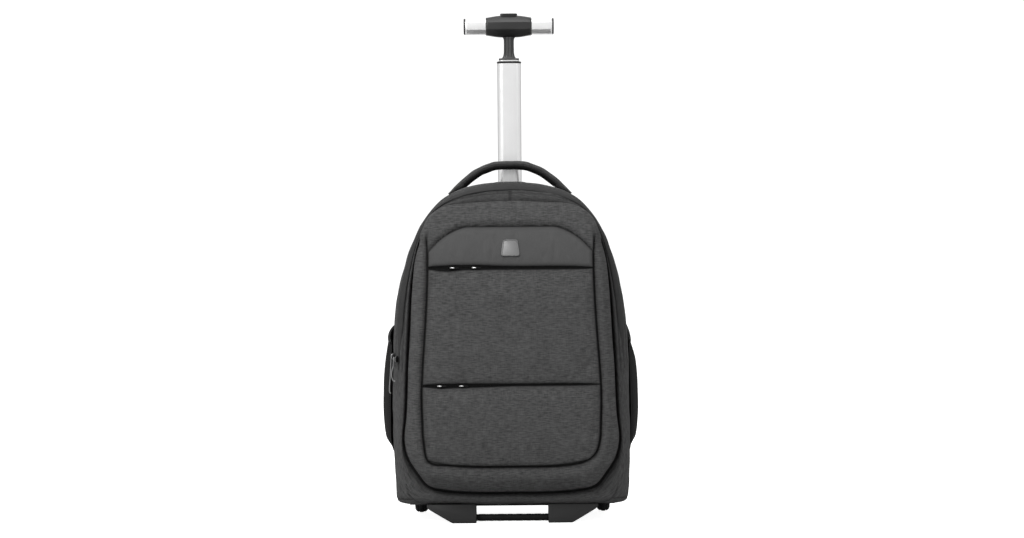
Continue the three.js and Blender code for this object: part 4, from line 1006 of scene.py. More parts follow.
def room_for_wheel(side, margin=1.0):
    """Closed box that keeps cloth clear of a wheel housing."""
    name = "wheel_housing_right" if side > 0 else "wheel_housing_left"
    low, high = (np.array(c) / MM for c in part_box(name))
    low[1] += SHIFT_Y
    high[1] += SHIFT_Y
    low -= (margin, margin, 20)
    high += (margin, 30, margin)
    loop = np.array([(low[0], low[1]), (high[0], low[1]), (high[0], high[1]), (low[0], high[1])])
    return through_rings([at_height(loop, low[2]), at_height(loop, high[2])])


BAND_SEAM = 1.2
GROOVE_FADE = (0.085, 0.16)
BOTTOM_ROLL = np.array([0, -5, -2.4])
CORNER_SEAMS = (
    [(156, 60), (152, 46), (143, 36), (122, 26)],
    [(172, 34), (160, 37), (146, 38)],
)


def distance_to(line, places):
    """Distance of flat places from a line through corners."""
    line = np.array(line, float)
    best = np.full(len(places), np.inf)
    for a, b in zip(line[:-1], line[1:]):
        t = np.clip(((places - a) @ (b - a)) / ((b - a) @ (b - a)), 0, 1)
        best = np.minimum(best, np.linalg.norm(places - a - t[:, None] * (b - a), axis=1))
    return best


TROLLEY_Y = 68
TUBE_WIDTH = 36.2
TUBE_DEPTH = 19


def main_compartment():
    """The body's cloth: sides and their turn to the front, with its seams and its rolled lower edge."""
    total = MAIN_PROFILE["length"]
    lengths = np.concatenate(
        [np.linspace(0, total[2], STEPS_BACK, endpoint=False), np.linspace(total[2], total[-1], STEPS_TURN)]
    )
    ys, mixes = profile_point(lengths)
    rings = [BODY * (1 - m) + GROOVE * m + (0, y, 0) for y, m in zip(ys, mixes)]
    centre = (BODY[0] + BODY[AROUND // 2]) / 2
    for share in (0.94, 0.6, 0.2):
        inner = GROOVE * share + centre * (1 - share)
        inner[:, 1] = DIVIDER_Y
        rings.append(inner)
    points, faces = through_rings(rings, caps=False)
    turn = np.tile(np.arange(AROUND) / AROUND, len(rings))
    mix = np.repeat(np.concatenate([mixes, [1, 1, 1]]), AROUND)
    length = np.repeat(np.concatenate([lengths, [total[-1]] * 3]), AROUND)
    normal = normals_of(points, faces)
    relief = 1.3 * ripples(points, 95, 3) + 0.5 * ripples(points, 38, 4)
    relief *= smoothstep(length, 2, 25) * (1 - smoothstep(length, total[-3], total[-1]))
    pillow = np.sin(np.pi * np.clip(mix / 0.97, 0, 1)) * (1 - smoothstep(points[:, 2], 330, 420))
    relief += 0.8 * pillow
    # Seams beside the zip band, and across the sides, as dents; the seam value darkens the seam lines and
    # paints shade into the creases
    near = (np.abs(turn - 0.5) < 0.5 - turn_at(FLAP_UP)) & (mix > 0.01)
    away = (mix - zip_mix(turn)) * GUSSET_REACH
    seam = 0.5 * np.exp(-(((length - 14) / 1.6) ** 2))
    for face in (-1, 1):
        crease = np.where(near, np.exp(-(((away - face * (flap_width(turn) / 2 + 1)) / 1.6) ** 2)), 0)
        relief -= BAND_SEAM * crease
        seam = np.maximum(seam, 0.35 * crease)
    relief -= 1.4 * np.exp(-(((length - 14) / 1.8) ** 2))
    middle_seam = np.exp(-((points[:, 0] / 1.5) ** 2)) * (points[:, 2] > TOP_Z - 60) * (mix > 0.5)
    seam = np.maximum(seam, 0.6 * middle_seam)
    deep = smoothstep(np.abs(turn - 0.5), *GROOVE_FADE)
    low = 1 - smoothstep(points[:, 2], 60, 95)
    # Painted shade: darker along the groove round the front compartment, most where it runs deep, and in a
    # soft band where the cloth turns over the top
    seam = np.maximum(seam, (0.05 + 0.8 * deep) * smoothstep(length, total[-1] - 3, total[-1] - 1))
    seam = np.maximum(seam, 0.3 * deep * (1 - 0.7 * low) * smoothstep(length, total[-1] - 11, total[-1] - 3))
    seam = np.maximum(seam, 0.16 * (1 - deep) * smoothstep(mix, 0.5, 0.75))
    relief += 3.6 * (1 - deep) * smoothstep(length, total[-1] - 8, total[-1] - 2)
    for line in CORNER_SEAMS:
        away = distance_to(line, np.column_stack([np.abs(points[:, 0]), points[:, 2]]))
        on = np.exp(-((away / 0.9) ** 2)) * (points[:, 1] < 0)
        seam = np.maximum(seam, 0.55 * on)
        relief -= 0.8 * on
    points = points + normal * relief[:, None]
    points = points + (low * np.sin(np.pi * np.clip(mix, 0, 1)))[:, None] * BOTTOM_ROLL
    inner = points - normal * MAIN_WALL
    around = np.concatenate([[0], np.cumsum(np.linalg.norm(np.diff(BODY, axis=0), axis=1))])
    weave = np.column_stack([np.tile(around, len(rings)), length])
    part = thickened(points, faces, inner)
    obj = piece(
        "main_shell", part, HEATHER_SIDE, "bag", "main_compartment",
        weave=np.vstack([weave, weave]), seam=np.tile(seam, 2), sharp=60,
    )
    slot = rectangle(TUBE_WIDTH + 9, TUBE_DEPTH + 9, TUBE_DEPTH / 2 + 4)
    opening = shifted(prism(slot, TOP_Z - 60, TOP_Z + 30), (0, TROLLEY_Y, 0))
    cut_by(obj, room_for_wheel(-1), room_for_wheel(1), opening)
    return obj


main_compartment()


def zip_band():
    """The smooth flap over the main zip, from one flank over the top to the other."""
    start = turn_at(FLAP_UP)
    turn = np.linspace(start, 1 - start, 300)
    mix = zip_mix(turn)
    at = main_point(turn, mix) + main_normal(turn, mix) * 0.9
    across = main_point(turn, mix + 0.05) - main_point(turn, mix - 0.05)
    taper = 1 - 0.75 * (1 - smoothstep(np.minimum(turn - start, 1 - start - turn), 0, 0.035))
    section = rounded(
        [(-1, -1), (1, -1), (1, -0.4), (0.8, 0.4), (0.4, 0.9), (-0.4, 0.9), (-0.8, 0.4), (-1, -0.4)], 0.1, 2
    )
    points, faces = swept(at, across, flap_width(turn) * taper, 2.6, section)
    length = np.concatenate([[0], np.cumsum(np.linalg.norm(np.diff(at, axis=0), axis=1))])
    weave = np.column_stack(
        [np.repeat(length, len(section)), np.tile(section[:, 0] * FLAP_WIDTH / 2, len(at))]
    )
    return piece("zip_band", (points, faces), FLAP_CLOTH, "bag", "zip_main", weave=weave)


zip_band()


# Front compartment
def yoke_arc(u):
    fall = np.clip((np.abs(u) - 0.52) / 0.48, 0, 1)
    return YOKE_TOP_Z - YOKE_SIDE_DROP * fall**1.75


TOP_PUFF = 3.4
INNER_SEAM = 2.4
INNER_SEAM_TOP_Z = 424


def front_compartment():
    base = DIVIDER_Y - SEAM_GAP
    centre = (GROOVE[0] + GROOVE[AROUND // 2]) / 2
    deep = smoothstep(np.abs(np.arange(AROUND) / AROUND - 0.5), *GROOVE_FADE)
    fit = (GROOVE_FIT + (GROOVE_TOP_FIT - GROOVE_FIT) * (1 - deep))[:, None]
    edge = GROOVE * fit + centre * (1 - fit)
    key = np.concatenate(
        [[0], np.cumsum(np.hypot(28 * np.diff(GUSSET_PROFILE["mix"]), 36 * np.diff(GUSSET_PROFILE["rise"])))]
    )
    GUSSET_PROFILE["length"] = key + 4 * GUSSET_PROFILE["lift"]
    lengths = np.linspace(0, GUSSET_PROFILE["length"][-1], 34)
    rings = []
    for at in lengths:
        mix, lift, rise = (along(GUSSET_PROFILE, "length", c, at) for c in ("mix", "lift", "rise"))
        ring = edge * (1 - mix) + FACE * mix
        ring[:, 1] = base - lift * FRONT_UPSTAND - rise * face_rise(FACE[:, 0], FACE[:, 2])
        rings.append(ring)
    middle = (FACE[0] + FACE[AROUND // 2]) / 2
    shares = np.concatenate([np.linspace(0.99, 0.5, 44), [0.4, 0.28, 0.16, 0.06]])
    for share in shares:
        ring = FACE * share + middle * (1 - share)
        ring[:, 1] = face_y(ring[:, 0], ring[:, 2])
        rings.append(ring)
    points, faces = through_rings(rings, caps=False)
    faces.append(list(range((len(rings) - 1) * AROUND, len(rings) * AROUND)))
    normal = normals_of(points, faces)
    x, z = points[:, 0], points[:, 2]
    ring_index = np.repeat(np.arange(len(rings)), AROUND)
    on_face = ring_index >= len(lengths)
    from_face = np.linalg.norm((points - np.tile(FACE, (len(rings), 1)))[:, [0, 2]], axis=1)
    u = x / np.maximum(half_width(FACE, np.minimum(z, height_at(0.9))) - PANEL_INSET, 20)
    above = z - yoke_arc(np.clip(u, -1, 1))
    puff = TOP_PUFF * (1 - np.exp(-((np.maximum(above, 0) / 5) ** 2)))
    inside = smoothstep(z, 408, INNER_SEAM_TOP_Z)
    puff *= np.where(np.abs(u) > 1, inside, 1)
    to_groove = smoothstep(height_at(0.937) - z, 0, 10)
    puff *= np.where(above > 0, np.maximum(to_groove, 0), 0)
    seam = INNER_SEAM * np.exp(-((from_face / 2.0) ** 2)) * (1 - smoothstep(z, 412, INNER_SEAM_TOP_Z))
    roll = 2.6 * np.sin(np.pi * np.clip(from_face / 25, 0, 1)) * (~on_face) * (1 - smoothstep(z, 380, 430))
    uneven = (0.9 * ripples(points, 70, 11) + 0.4 * ripples(points, 26, 12)) * np.where(on_face, 0.5, 1)
    uneven *= smoothstep(ring_index, 3, 12)
    relief = puff - seam + roll + uneven
    # Painted shade, stored as the seam value: dark in the inner seam's crease, on the arc seam and in a soft
    # band above it, and along the groove round the compartment, most where it runs deep
    reach = np.where(on_face, 4, 1.3)
    dark = np.maximum(0.95 * np.exp(-((from_face / reach) ** 4)), 0.3 * np.exp(-((from_face / 4.5) ** 2)))
    dark *= 1 - smoothstep(z, 412, INNER_SEAM_TOP_Z + 8)
    on_arc = np.where((np.abs(u) < 1) & (z > 380), np.exp(-((above / 1.6) ** 2)), 0)
    dark = np.maximum(dark, 0.9 * on_arc)
    dark = np.maximum(dark, 0.3 * np.where((np.abs(u) < 1) & (above > 0), np.exp(-((above / 6) ** 2)), 0))
    deep = np.tile(deep, len(rings))
    start = np.interp(ring_index, np.arange(len(lengths)), lengths)
    dark = np.maximum(dark, (0.05 + 0.8 * deep) * (1 - smoothstep(start, 1, 5)))
    dark = np.maximum(dark, 0.4 * deep * (1 - smoothstep(start, 3, 14)))
    dark = np.maximum(dark, 0.2 * (1 - deep) * (1 - smoothstep(start, 2, 14)))
    points = points + normal * relief[:, None]
    inner = points - normal * FRONT_WALL
    inner[:, 1] = np.minimum(inner[:, 1], base)
    part = thickened(points, faces, inner)
    weave = points[:, [0, 2]]
    return piece(
        "front_shell", part, HEATHER, "bag", "front_compartment",
        weave=np.vstack([weave, weave]), seam=np.tile(dark, 2), sharp=60,
    )


front_compartment()


# Pocket panels on the face
EDGE_ROLL = 6


def panel_sheet(bottom, top, rows, across, edge, swell):
    u = np.linspace(-1, 1, across)[None, :]
    v = np.linspace(0, 1, rows)[:, None]
    z = bottom(u) * (1 - v) + top(u) * v
    x = face_x(u, z)
    pad = edge + swell * np.sqrt((1 - u**4) * (1 - (2 * v - 1) ** 4))
    rim = np.minimum.reduce(
        [
            (1 - np.abs(u)) * 120 + 0 * v,
            np.abs(z - bottom(u)),
            np.abs(top(u) - z),
        ]
    )
    roll = np.sqrt(1 - (1 - np.clip(rim / EDGE_ROLL, 0, 1)) ** 2)
    low = face_y(x, z) - LOOSE_GAP
    return x, z, low, pad * (0.12 + 0.88 * roll), rim


PANEL_SPACING = 2.4
PANEL_CAP = 2.2


def panel(name, node_name, material, bottom, top, slack=0.012, pressure=2.5):
    """A pocket's padded cloth, swollen by the cloth simulation inside its sewn edges."""
    width = 2 * (half_width(FACE, height_at(0.4)) - PANEL_INSET)
    tall = float(top(np.array(0.0)) - bottom(np.array(0.0)))
    across, rows = int(width / PANEL_SPACING) + 1, int(tall / PANEL_SPACING) + 1
    x, z, low, pad, rim = panel_sheet(bottom, top, rows, across, PANEL_EDGE, PANEL_SWELL)
    front = np.stack([x, low - pad, z], -1)
    points, faces = grid(front)
    flat_rim = rim.ravel()
    sewn = 1 - smoothstep(flat_rim, 0.5, 7)
    sewn[flat_rim < 1] = 1
    points = swollen(points, faces, sewn, pressure, PANEL_CAP, slack)
    points[:, 1] -= 0.35 * ripples(points, 60, len(name)) * smoothstep(flat_rim, 4, 20)
    points[:, 1] = np.minimum(points[:, 1], low.ravel() - 0.3)
    back = np.stack([x, low, z], -1).reshape(-1, 3)
    part = thickened(points, faces, back)
    weave = points[:, [0, 2]]
    # Painted shade: the cloth darkens towards its sewn rim, with a dark line right at the rim
    seam = 0.85 * (1 - smoothstep(flat_rim, 0.2, 1.6)) + 0.25 * (1 - smoothstep(flat_rim, 1, 8))
    obj = piece(
        name, part, material, "bag", node_name, weave=np.vstack([weave, weave]),
        seam=np.tile(seam, 2), sharp=70, subdivide=1,
    )
    return obj


FACE_BOTTOM_Z = FACE[0, 2]
SLOT_NARROW = 1.8


def pocket_top(z, sag, rise=0):
    """A pocket's upper edge, which sags where its sliders are parked and rises beside them."""
    return lambda u: (
        z + 0.9 * np.abs(u) ** 8 + rise * smoothstep(u, -0.5, 0.1)
        - sag * np.exp(-(((u + 0.78) / 0.15) ** 2)) * (1 - u**16)
    )


def arched(z, fall):
    """The lower edge over a slot, which closes beside its sliders and towards its two ends."""
    return lambda u: z - SLOT_NARROW * np.abs(u) ** 6 - fall * smoothstep(u, -0.5, 0.1)


panel(
    "yoke_panel", "yoke", YOKE_CLOTH,
    arched(UPPER_ZIP_Z + UPPER_ZIP_SLOT / 2, 2.1), yoke_arc, slack=0.004, pressure=1.5,
)
panel(
    "pocket_upper_panel", "pocket_upper", HEATHER,
    arched(LOWER_ZIP_Z + LOWER_ZIP_SLOT / 2, 0.4), pocket_top(UPPER_ZIP_Z - UPPER_ZIP_SLOT / 2, 2.4),
)
panel(
    "pocket_lower_panel", "pocket_lower", HEATHER,
    lambda u: FACE_BOTTOM_Z + PANEL_INSET + 9 * np.abs(u) ** 6,
    pocket_top(LOWER_ZIP_Z - LOWER_ZIP_SLOT / 2, 1.2, 1.9),
)


def face_zip(name, node_name, z, slot_height):
    """Tape and coil in the slot between two panels."""
    u = np.linspace(-1, 1, 120)
    rows = []
    for height, lift in ((-1.1, 0.1), (-0.3, 0.2), (0, 0.2), (0.3, 0.2), (0.6, 0.1)):
        level_z = np.full_like(u, z + height * (slot_height - 2 * SEAM_GAP))
        x = face_x(u, level_z)
        rows.append(np.stack([x, face_y(x, level_z) - LOOSE_GAP - lift, level_z], 1))
    points, faces = grid(rows)
    back = points.copy()
    back[:, 1] = face_y(points[:, 0], points[:, 2]) - LOOSE_GAP + 0.1
    tape = thickened(points, faces, back)
    line = rows[2] + (0, -0.2, 0)
    places, ways = resampled(line, 1.3)
    tooth = based(capsule(2.6, 0.7, 0.6, 5), Y, X, Z)
    teeth = repeated(tooth, places, ways, -Y)
    piece(f"{name}_tape", tape, BLACK_SHADED_ZIP_TAPE, "bag", node_name, weave=tape[0][:, [0, 2]])
    piece(f"{name}_coil", teeth, BLACK_SHADED_ZIP_COIL, "bag")


face_zip("zip_upper", "zip_upper", UPPER_ZIP_Z, UPPER_ZIP_SLOT)
face_zip("zip_lower", "zip_lower", LOWER_ZIP_Z, LOWER_ZIP_SLOT)

# Sliders and pulls


def face_slider(node_name, out, z):
    """A slider in a face zip, with its small tab lying along the slot."""
    x = out * HALF_WIDTH
    front = face_y(x, z) - LOOSE_GAP - ZIP_THICK - SEAM_GAP
    body = [(-4.5, -1), (-2.6, -1.7), (2.6, -1.7), (4.5, -1), (4.5, 1), (2.6, 1.7), (-2.6, 1.7), (-4.5, 1)]
    body = rounded(body, 0.3, 2)
    base = prism(body, 0, 1.7, 0.4)
    bridge = spline([(-3, 0, 1.4), (-2, 0, 2.5), (0, 0, 2.8), (2, 0, 2.5), (3, 0, 1.4)], 16)
    tab_loop = rounded([(0, -1.2), (7.5, -0.9), (7.5, 0.9), (0, 1.2)], 0.6, 3)
    tab = shifted(prism(tab_loop, 1.5, 2.4, 0.3), (2.2, 0, 0))
    glint = wire(bridge, 0.8, 8)
    at = (x, front, z - 0.4)
    # One slider shown as two metals: its bridge bright for a painted glint, its body and tab black as painted
    # shade
    piece(node_name + "_bridge", based(glint, X, Z, -Y, at), GLINT_METAL, "bag")
    made = based(joined(base, tab), X, Z, -Y, at)
    piece(node_name + "_shown", made, BLACK_METAL, "bag", node_name)


for node_name, out, z in (
    ("slider_upper_1", -0.48, UPPER_ZIP_Z),
    ("slider_upper_2", -0.3, UPPER_ZIP_Z),
    ("slider_lower_1", -0.59, LOWER_ZIP_Z),
    ("slider_lower_2", -0.41, LOWER_ZIP_Z),
):
    face_slider(node_name, out, z)

PULL_WIDTH = 6
MAIN_SLIDER_THICK = 3.2
MAIN_SLIDER_UP = 0.463


def main_slider(end, mix, stands, pull, ride, slant, hook):
    """A slider of the main zip on the left flank, with its ring and a bent wire pull hanging from it."""
    turn = 1 - turn_at(MAIN_SLIDER_UP)
    out = main_normal(turn, mix)
    way = unit(main_point(turn + 0.01, mix) - main_point(turn - 0.01, mix))
    across = unit(np.cross(out, way))
    at = main_point(turn, mix) + out * (stands + MAIN_SLIDER_THICK / 2)
    body = rounded([(-5, -1.8), (-2, -3), (4.8, -2.5), (4.8, 2.5), (-2, 3), (-5, 1.8)], 0.8, 3)
    plates = joined(prism(body, -1.6, -0.5, 0.35), prism(inset(body, 0.3), 0.2, 1.2, 0.35))
    post = prism(oval(2.4, 3, 12), -0.7, 0.4, 0.1)
    made = joined(plates, post)
    slider = f"slider_main_{end}"
    piece(f"{slider}_shown", based(made, way, across, out, at), BLACK_METAL, "bag", slider)
    bridge = wire(spline([(-3.6, 0, 1), (-3, 0, 2.2), (0, 0, 2.8), (3, 0, 2.2), (3.6, 0, 1)], 20), 0.7, 8)
    piece(f"{slider}_bridge", based(bridge, way, across, out, at), GUNMETAL, "bag")

    hang = at + out * (MAIN_SLIDER_THICK / 2 + ride)
    foot = np.array([hang[0] - slant * pull, hang[1], hang[2] + PULL_WIDTH / 2 - pull])
    lean = unit(hang - foot)
    side = unit(np.cross(lean, Y))
    top = PULL_WIDTH / 2
    link = spline([(0, 0, top), (0, 2.6, top - 4), (0, 2.2, top - 12), (0, 0, top - 15), (0, -2.2, top - 12),
                   (0, -2.6, top - 4)], 60, closed=True)
    rod = spline(np.array(hook, float) + (0, 0, top - 13), 40)
    made = joined(wire(link, 0.8, 8, closed=True), wire(rod, 0.95, 8))
    pull_name = f"pull_main_{end}"
    made = based(made, side, Y, lean, hang)
    piece(f"{pull_name}_shown", made, GUNMETAL, "bag", pull_name)


FRONT_HOOK = [(0, 0, 0), (1.6, 0, -8), (1.2, 0, -16), (-1.4, 0, -21), (-4, 0, -22)]
REAR_HOOK = [(0, 0, 0), (0, 0, -18), (0.2, 0, -38), (-0.6, 0, -43), (-2.2, 0, -44)]
main_slider("front", 0.44, 4.1, 38, 3.7, 0.06, FRONT_HOOK)
main_slider("rear", 0.13, 0.8, 60, 1.85, 0.06, REAR_HOOK)

BADGE_WIDTH, BADGE_TOP_WIDTH, BADGE_HEIGHT = 27.8, 20.8, 25
BADGE_Z = height_at(0.792)


def badge():
    """Blank metal plate with a raised rim."""
    slope = (face_y(0, BADGE_Z + 10) - face_y(0, BADGE_Z - 10)) / 20
    w, top, h = BADGE_WIDTH / 2, BADGE_TOP_WIDTH / 2, BADGE_HEIGHT / 2
    loop = rounded([(-w, -h), (w, -h), (top, h), (-top, h)], 3.6, 6)
    plate = prism(loop, 0, 1.1, 0.3)
    rim_loop = inset(loop, 1.0)
    rim = wire(at_height(rim_loop, 1.15), 0.7, 8, closed=True)
    y = face_y(0, BADGE_Z) - LOOSE_GAP - PANEL_EDGE - PANEL_SWELL - 1.2
    lean = math.atan(slope)
    up = np.array([0, math.sin(lean), math.cos(lean)])
    out = np.array([0, -math.cos(lean), math.sin(lean)])
    made = based(joined(plate, rim), X, up, out, (0, y, BADGE_Z))
    return piece("badge_plate", made, BADGE_METAL, "bag", "blank_badge")


badge()

# Carry handle
HANDLE_Y = 20
HANDLE_WIDTH = 26
HANDLE_SPAN = 92
HANDLE_RISE = 27
HANDLE_THICK = 12.4
HANDLE_PROFILE = columns(
    "out rise thick",
    (0, 1, 1), (0.235, 0.992, 1), (0.354, 0.922, 1), (0.461, 0.826, 1), (0.56, 0.7, 1), (0.66, 0.535, 1),
    (0.75, 0.375, 1), (0.81, 0.275, 0.95), (0.87, 0.22, 0.75), (0.93, 0.16, 0.55), (0.97, 0.13, 0.42),
    (1, 0.107, 0.35),
)


def carry_handle():
    """Padded grip in a cloth tube over the arch, sewn to the bag by a tab at each end."""
    t = np.linspace(-1, 1, 121)
    share = np.abs(t)
    rise, thick = (along(HANDLE_PROFILE, "out", c, share) for c in ("rise", "thick"))
    x = t * HANDLE_SPAN
    path = np.column_stack([x, np.full_like(x, HANDLE_Y), top_height(BODY, x) + rise * HANDLE_RISE])
    section = oval(2, 2, 32, 0.72)
    points, faces = swept(path, Y, HANDLE_WIDTH, thick * HANDLE_THICK, section)
    length = np.concatenate([[0], np.cumsum(np.linalg.norm(np.diff(path, axis=0), axis=1))])
    weave = np.column_stack([np.repeat(length, 32), np.tile(np.arange(32) * 2.2, len(path))])
    uneven = ripples(points, 22, 31) * 0.35 * np.repeat(np.clip(thick * 1.4 - 0.5, 0, 1), 32)
    points = points + normals_of(points, faces[:-2]) * uneven[:, None]
    # Painted shade: the seam value darkens the lower half of the cloth tube
    obj = piece(
        "handle_cloth", (points, faces), HEATHER_SIDE, "bag", "carry_handle", weave=weave,
        seam=0.5 * np.tile(np.arange(32) > 14, len(path)), sharp=60,
    )
    rings = points.reshape(len(path), 32, 3)
    seams = []
    for k in (2, 13):
        line = rings[8:-8, k]
        seams.append(stitched(line, Z))
    # Wrapped lower half: a smooth strip under the grip
    inner = slice(14, -14)
    under = []
    for k in range(16, 32):
        way = unit(rings[:, k] - path)
        under.append(rings[:, k] + way * 0.5)
    under = np.array(under)[:, inner]
    strip_points, strip_faces = grid(under.transpose(1, 0, 2))
    back = strip_points - normals_of(strip_points, strip_faces) * 0.9
    strip = thickened(strip_points, strip_faces, back)
    strip_weave = strip[0][:, [0, 1]]
    piece("handle_under", strip, UNDER_CLOTH, "bag", weave=strip_weave, sharp=60)
    made = joined(*seams)
    piece("handle_stitches", made, THREAD, "bag", weave=made[0][:, [0, 2]])
    return obj


carry_handle()

# Side pockets
POCKET_BOTTOM_Z = height_at(0.167)
POCKET_HEM_BACK_Z = height_at(0.542)
POCKET_HEM_FRONT_Z = height_at(0.496)
POCKET_FRONT_Y, POCKET_REAR_Y = -24, 76
POCKET_BULGE = 12.8
POCKET_WALL = 1.6
HEM_RADIUS = 1.8
LEFT_POCKET_OUT = 2.4
POCKET_PROFILE = columns("up slack", (0, 0.12), (0.05, 0.5), (0.18, 0.82), (0.45, 1), (0.75, 0.88), (1, 0.42))


def pocket_point(u, v, side):
    y = POCKET_FRONT_Y + u * (POCKET_REAR_Y - POCKET_FRONT_Y)
    hem = POCKET_HEM_FRONT_Z + u * (POCKET_HEM_BACK_Z - POCKET_HEM_FRONT_Z)
    z = POCKET_BOTTOM_Z + v * (hem - POCKET_BOTTOM_Z)
    round_share = np.sin(np.pi * np.clip(u, 0.0005, 0.9995)) ** 0.6
    full = along(POCKET_PROFILE, "up", "slack", v) - (0.3 * smoothstep(v, 0.75, 1) if side > 0 else 0)
    slack = POCKET_BULGE * round_share * full + (LEFT_POCKET_OUT if side < 0 else 0)
    stand = (POCKET_WALL + LOOSE_GAP + 0.4) * smoothstep(v, -0.05, 0.12)
    x = half_width(BODY, z) + stand + slack * smoothstep(v, -0.02, 0.1)
    return np.stack([side * x, y + 0 * x, z + 0 * x], -1)


def side_pocket(name, side):
    """Slack knitted pocket gathered into its elastic hem."""
    u, v = np.meshgrid(np.linspace(0, 1, 90), np.linspace(0, 1, 80))
    points = pocket_point(u, v, side)
    gather = np.sin(u * 2 * np.pi * 17 + 2 * np.sin(u * 9)) * 0.9 * smoothstep(v, 0.72, 1.0)
    gather *= np.sin(np.pi * u) ** 0.3
    folds = 0.8 * np.sin(2 * np.pi * (u * 3.2 + v * 0.8)) * np.sin(np.pi * v) * np.sin(np.pi * u)
    points[..., 0] += side * (gather + folds)
    flat_points, faces = grid(points if side > 0 else points[:, ::-1])
    inner = flat_points - normals_of(flat_points, faces) * 0.8
    part = thickened(flat_points, faces, inner)
    weave = flat_points[:, [1, 2]]
    obj = piece(
        f"pocket_net_{name}", part, MESH_CLOTH, "bag", f"side_pocket_{name}",
        weave=np.vstack([weave, weave]), sharp=70,
    )
    t = np.linspace(0, 1, 120)
    line = pocket_point(t, np.ones_like(t), side)
    line[:, 0] += side * 0.5 * np.sin(t * 2 * np.pi * 17 + 2 * np.sin(t * 9)) * np.sin(np.pi * t) ** 0.3
    line[:, 2] += HEM_RADIUS + SEAM_GAP
    hem = swept(line, X, 2 * HEM_RADIUS, 2 * HEM_RADIUS * 1.7, rectangle(2, 2, 0.8, 3))
    length = np.concatenate([[0], np.cumsum(np.linalg.norm(np.diff(line, axis=0), axis=1))])
    around = len(rectangle(2, 2, 0.8, 3))
    hem_weave = np.column_stack([np.tile(np.linspace(0, 12, around), len(line)), np.repeat(length, around)])
    hem_obj = piece(
        f"pocket_binding_{name}", hem, WEBBING, "bag", f"pocket_hem_{name}", weave=hem_weave
    )
    # Bound edge where the pocket is sewn to the flank
    t = np.linspace(0, 1, 70)
    down = pocket_point(0 * t, 1 - t, side)
    across = pocket_point(t, 0 * t, side)
    up = pocket_point(0 * t + 1, t, side)
    edge = np.vstack([down[:-3], spline([down[-3], (down[-1] + across[0]) / 2, across[3]], 6), across[4:-4],
                      spline([across[-4], (across[-1] + up[0]) / 2, up[3]], 6), up[4:]])
    edge[:, 0] -= side * 0.8
    binding = wire(edge, 1.1, 8)
    binding_weave = np.column_stack([binding[0][:, 1], binding[0][:, 2]])
    piece(f"pocket_seam_{name}", binding, WEBBING, "bag", weave=binding_weave)
    return obj


side_pocket("right", 1)
side_pocket("left", -1)

# Back panel
PANEL_THICK = 7
PAD_SWELL = 5


def panel_y(x, z):
    up = (z - BASE_Z) / BAG_HEIGHT
    side = np.abs(x) / HALF_WIDTH
    bump = lambda t, low, high: np.sin(np.pi * np.clip((t - low) / (high - low), 0, 1)) ** 0.7
    return BACK_Y + SEAM_GAP + PANEL_THICK + PAD_SWELL * bump(side, 0.06, 0.86) * bump(up, 0.16, 0.97)


CHANNEL_UPS = (0.36, 0.56, 0.76)


def back_panel():
    """Padded back: three pairs of foam pads under air mesh, with sewn channels between them."""
    rows, across = 150, 111
    v = np.linspace(0, 1, rows)[:, None]
    u = np.linspace(-1, 1, across)[None, :]
    low, high = height_at(0.008), height_at(0.991)
    z = low + (high - low) * (1 - (1 - v) ** 1.4) + 0 * u
    x = u * half_width(BODY, z) * 0.97
    rim = np.minimum((1 - np.abs(u)) * half_width(BODY, z), np.minimum(z - low, (high - z) * 1.5))
    roll = np.sqrt(1 - (1 - np.clip(rim / 7, 0, 1)) ** 2)
    y = BACK_Y + SEAM_GAP + 0.5 + (panel_y(x, z) - BACK_Y - SEAM_GAP - 0.5) * roll
    channel = np.zeros_like(x)
    for up in CHANNEL_UPS:
        line = np.exp(-(((z - height_at(up) - 0.02 * np.abs(x)) / 4.5) ** 2))
        channel = np.maximum(channel, line * (np.abs(u) < 0.9))
    channel = np.maximum(channel, np.exp(-((x / 9) ** 2)) * smoothstep(z, height_at(0.14), height_at(0.2)))
    y -= 4.2 * channel * smoothstep(rim, 4, 16)
    points, faces = grid(np.stack([-x, y, z], -1))
    sewn = np.maximum(1 - smoothstep(rim.ravel(), 1, 12), smoothstep(channel.ravel(), 0.3, 0.9))
    points = swollen(points, faces, sewn, 2.2, 3.5, 0.01)
    points[:, 1] += 0.3 * ripples(points, 50, 17) * smoothstep(rim.ravel(), 6, 20)
    points[:, 1] = np.maximum(points[:, 1], BACK_Y + SEAM_GAP + 0.4)
    back = points.copy()
    back[:, 1] = BACK_Y + SEAM_GAP
    part = thickened(points, faces, back)
    weave = np.vstack([points[:, [0, 2]]] * 2)
    obj = piece("back_pads", part, AIR_MESH, "bag", "back_panel", weave=weave, sharp=70)
    cut_by(obj, room_for_wheel(-1), room_for_wheel(1))
    piping = wire(BODY_RIM, 2.2, 10)
    piece("back_piping", piping, FLAP_CLOTH, "bag", weave=piping[0][:, [0, 2]])
    return obj


WHEEL_CLEAR_Z = 80
PIPING_BEHIND = 0.2
PIPING_INSET = 0.6


def rim_path():
    """The seam between the body and the back panel, from one wheel over the top to the other."""
    line = BODY[BODY[:, 2] > WHEEL_CLEAR_Z].copy()
    line[:, 1] = BACK_Y + PIPING_BEHIND
    middle = np.array([0, 0, (BASE_Z + TOP_Z) / 2])
    return line - unit((line - middle) * (1, 0, 1)) * PIPING_INSET


BODY_RIM = rim_path()
back_panel()

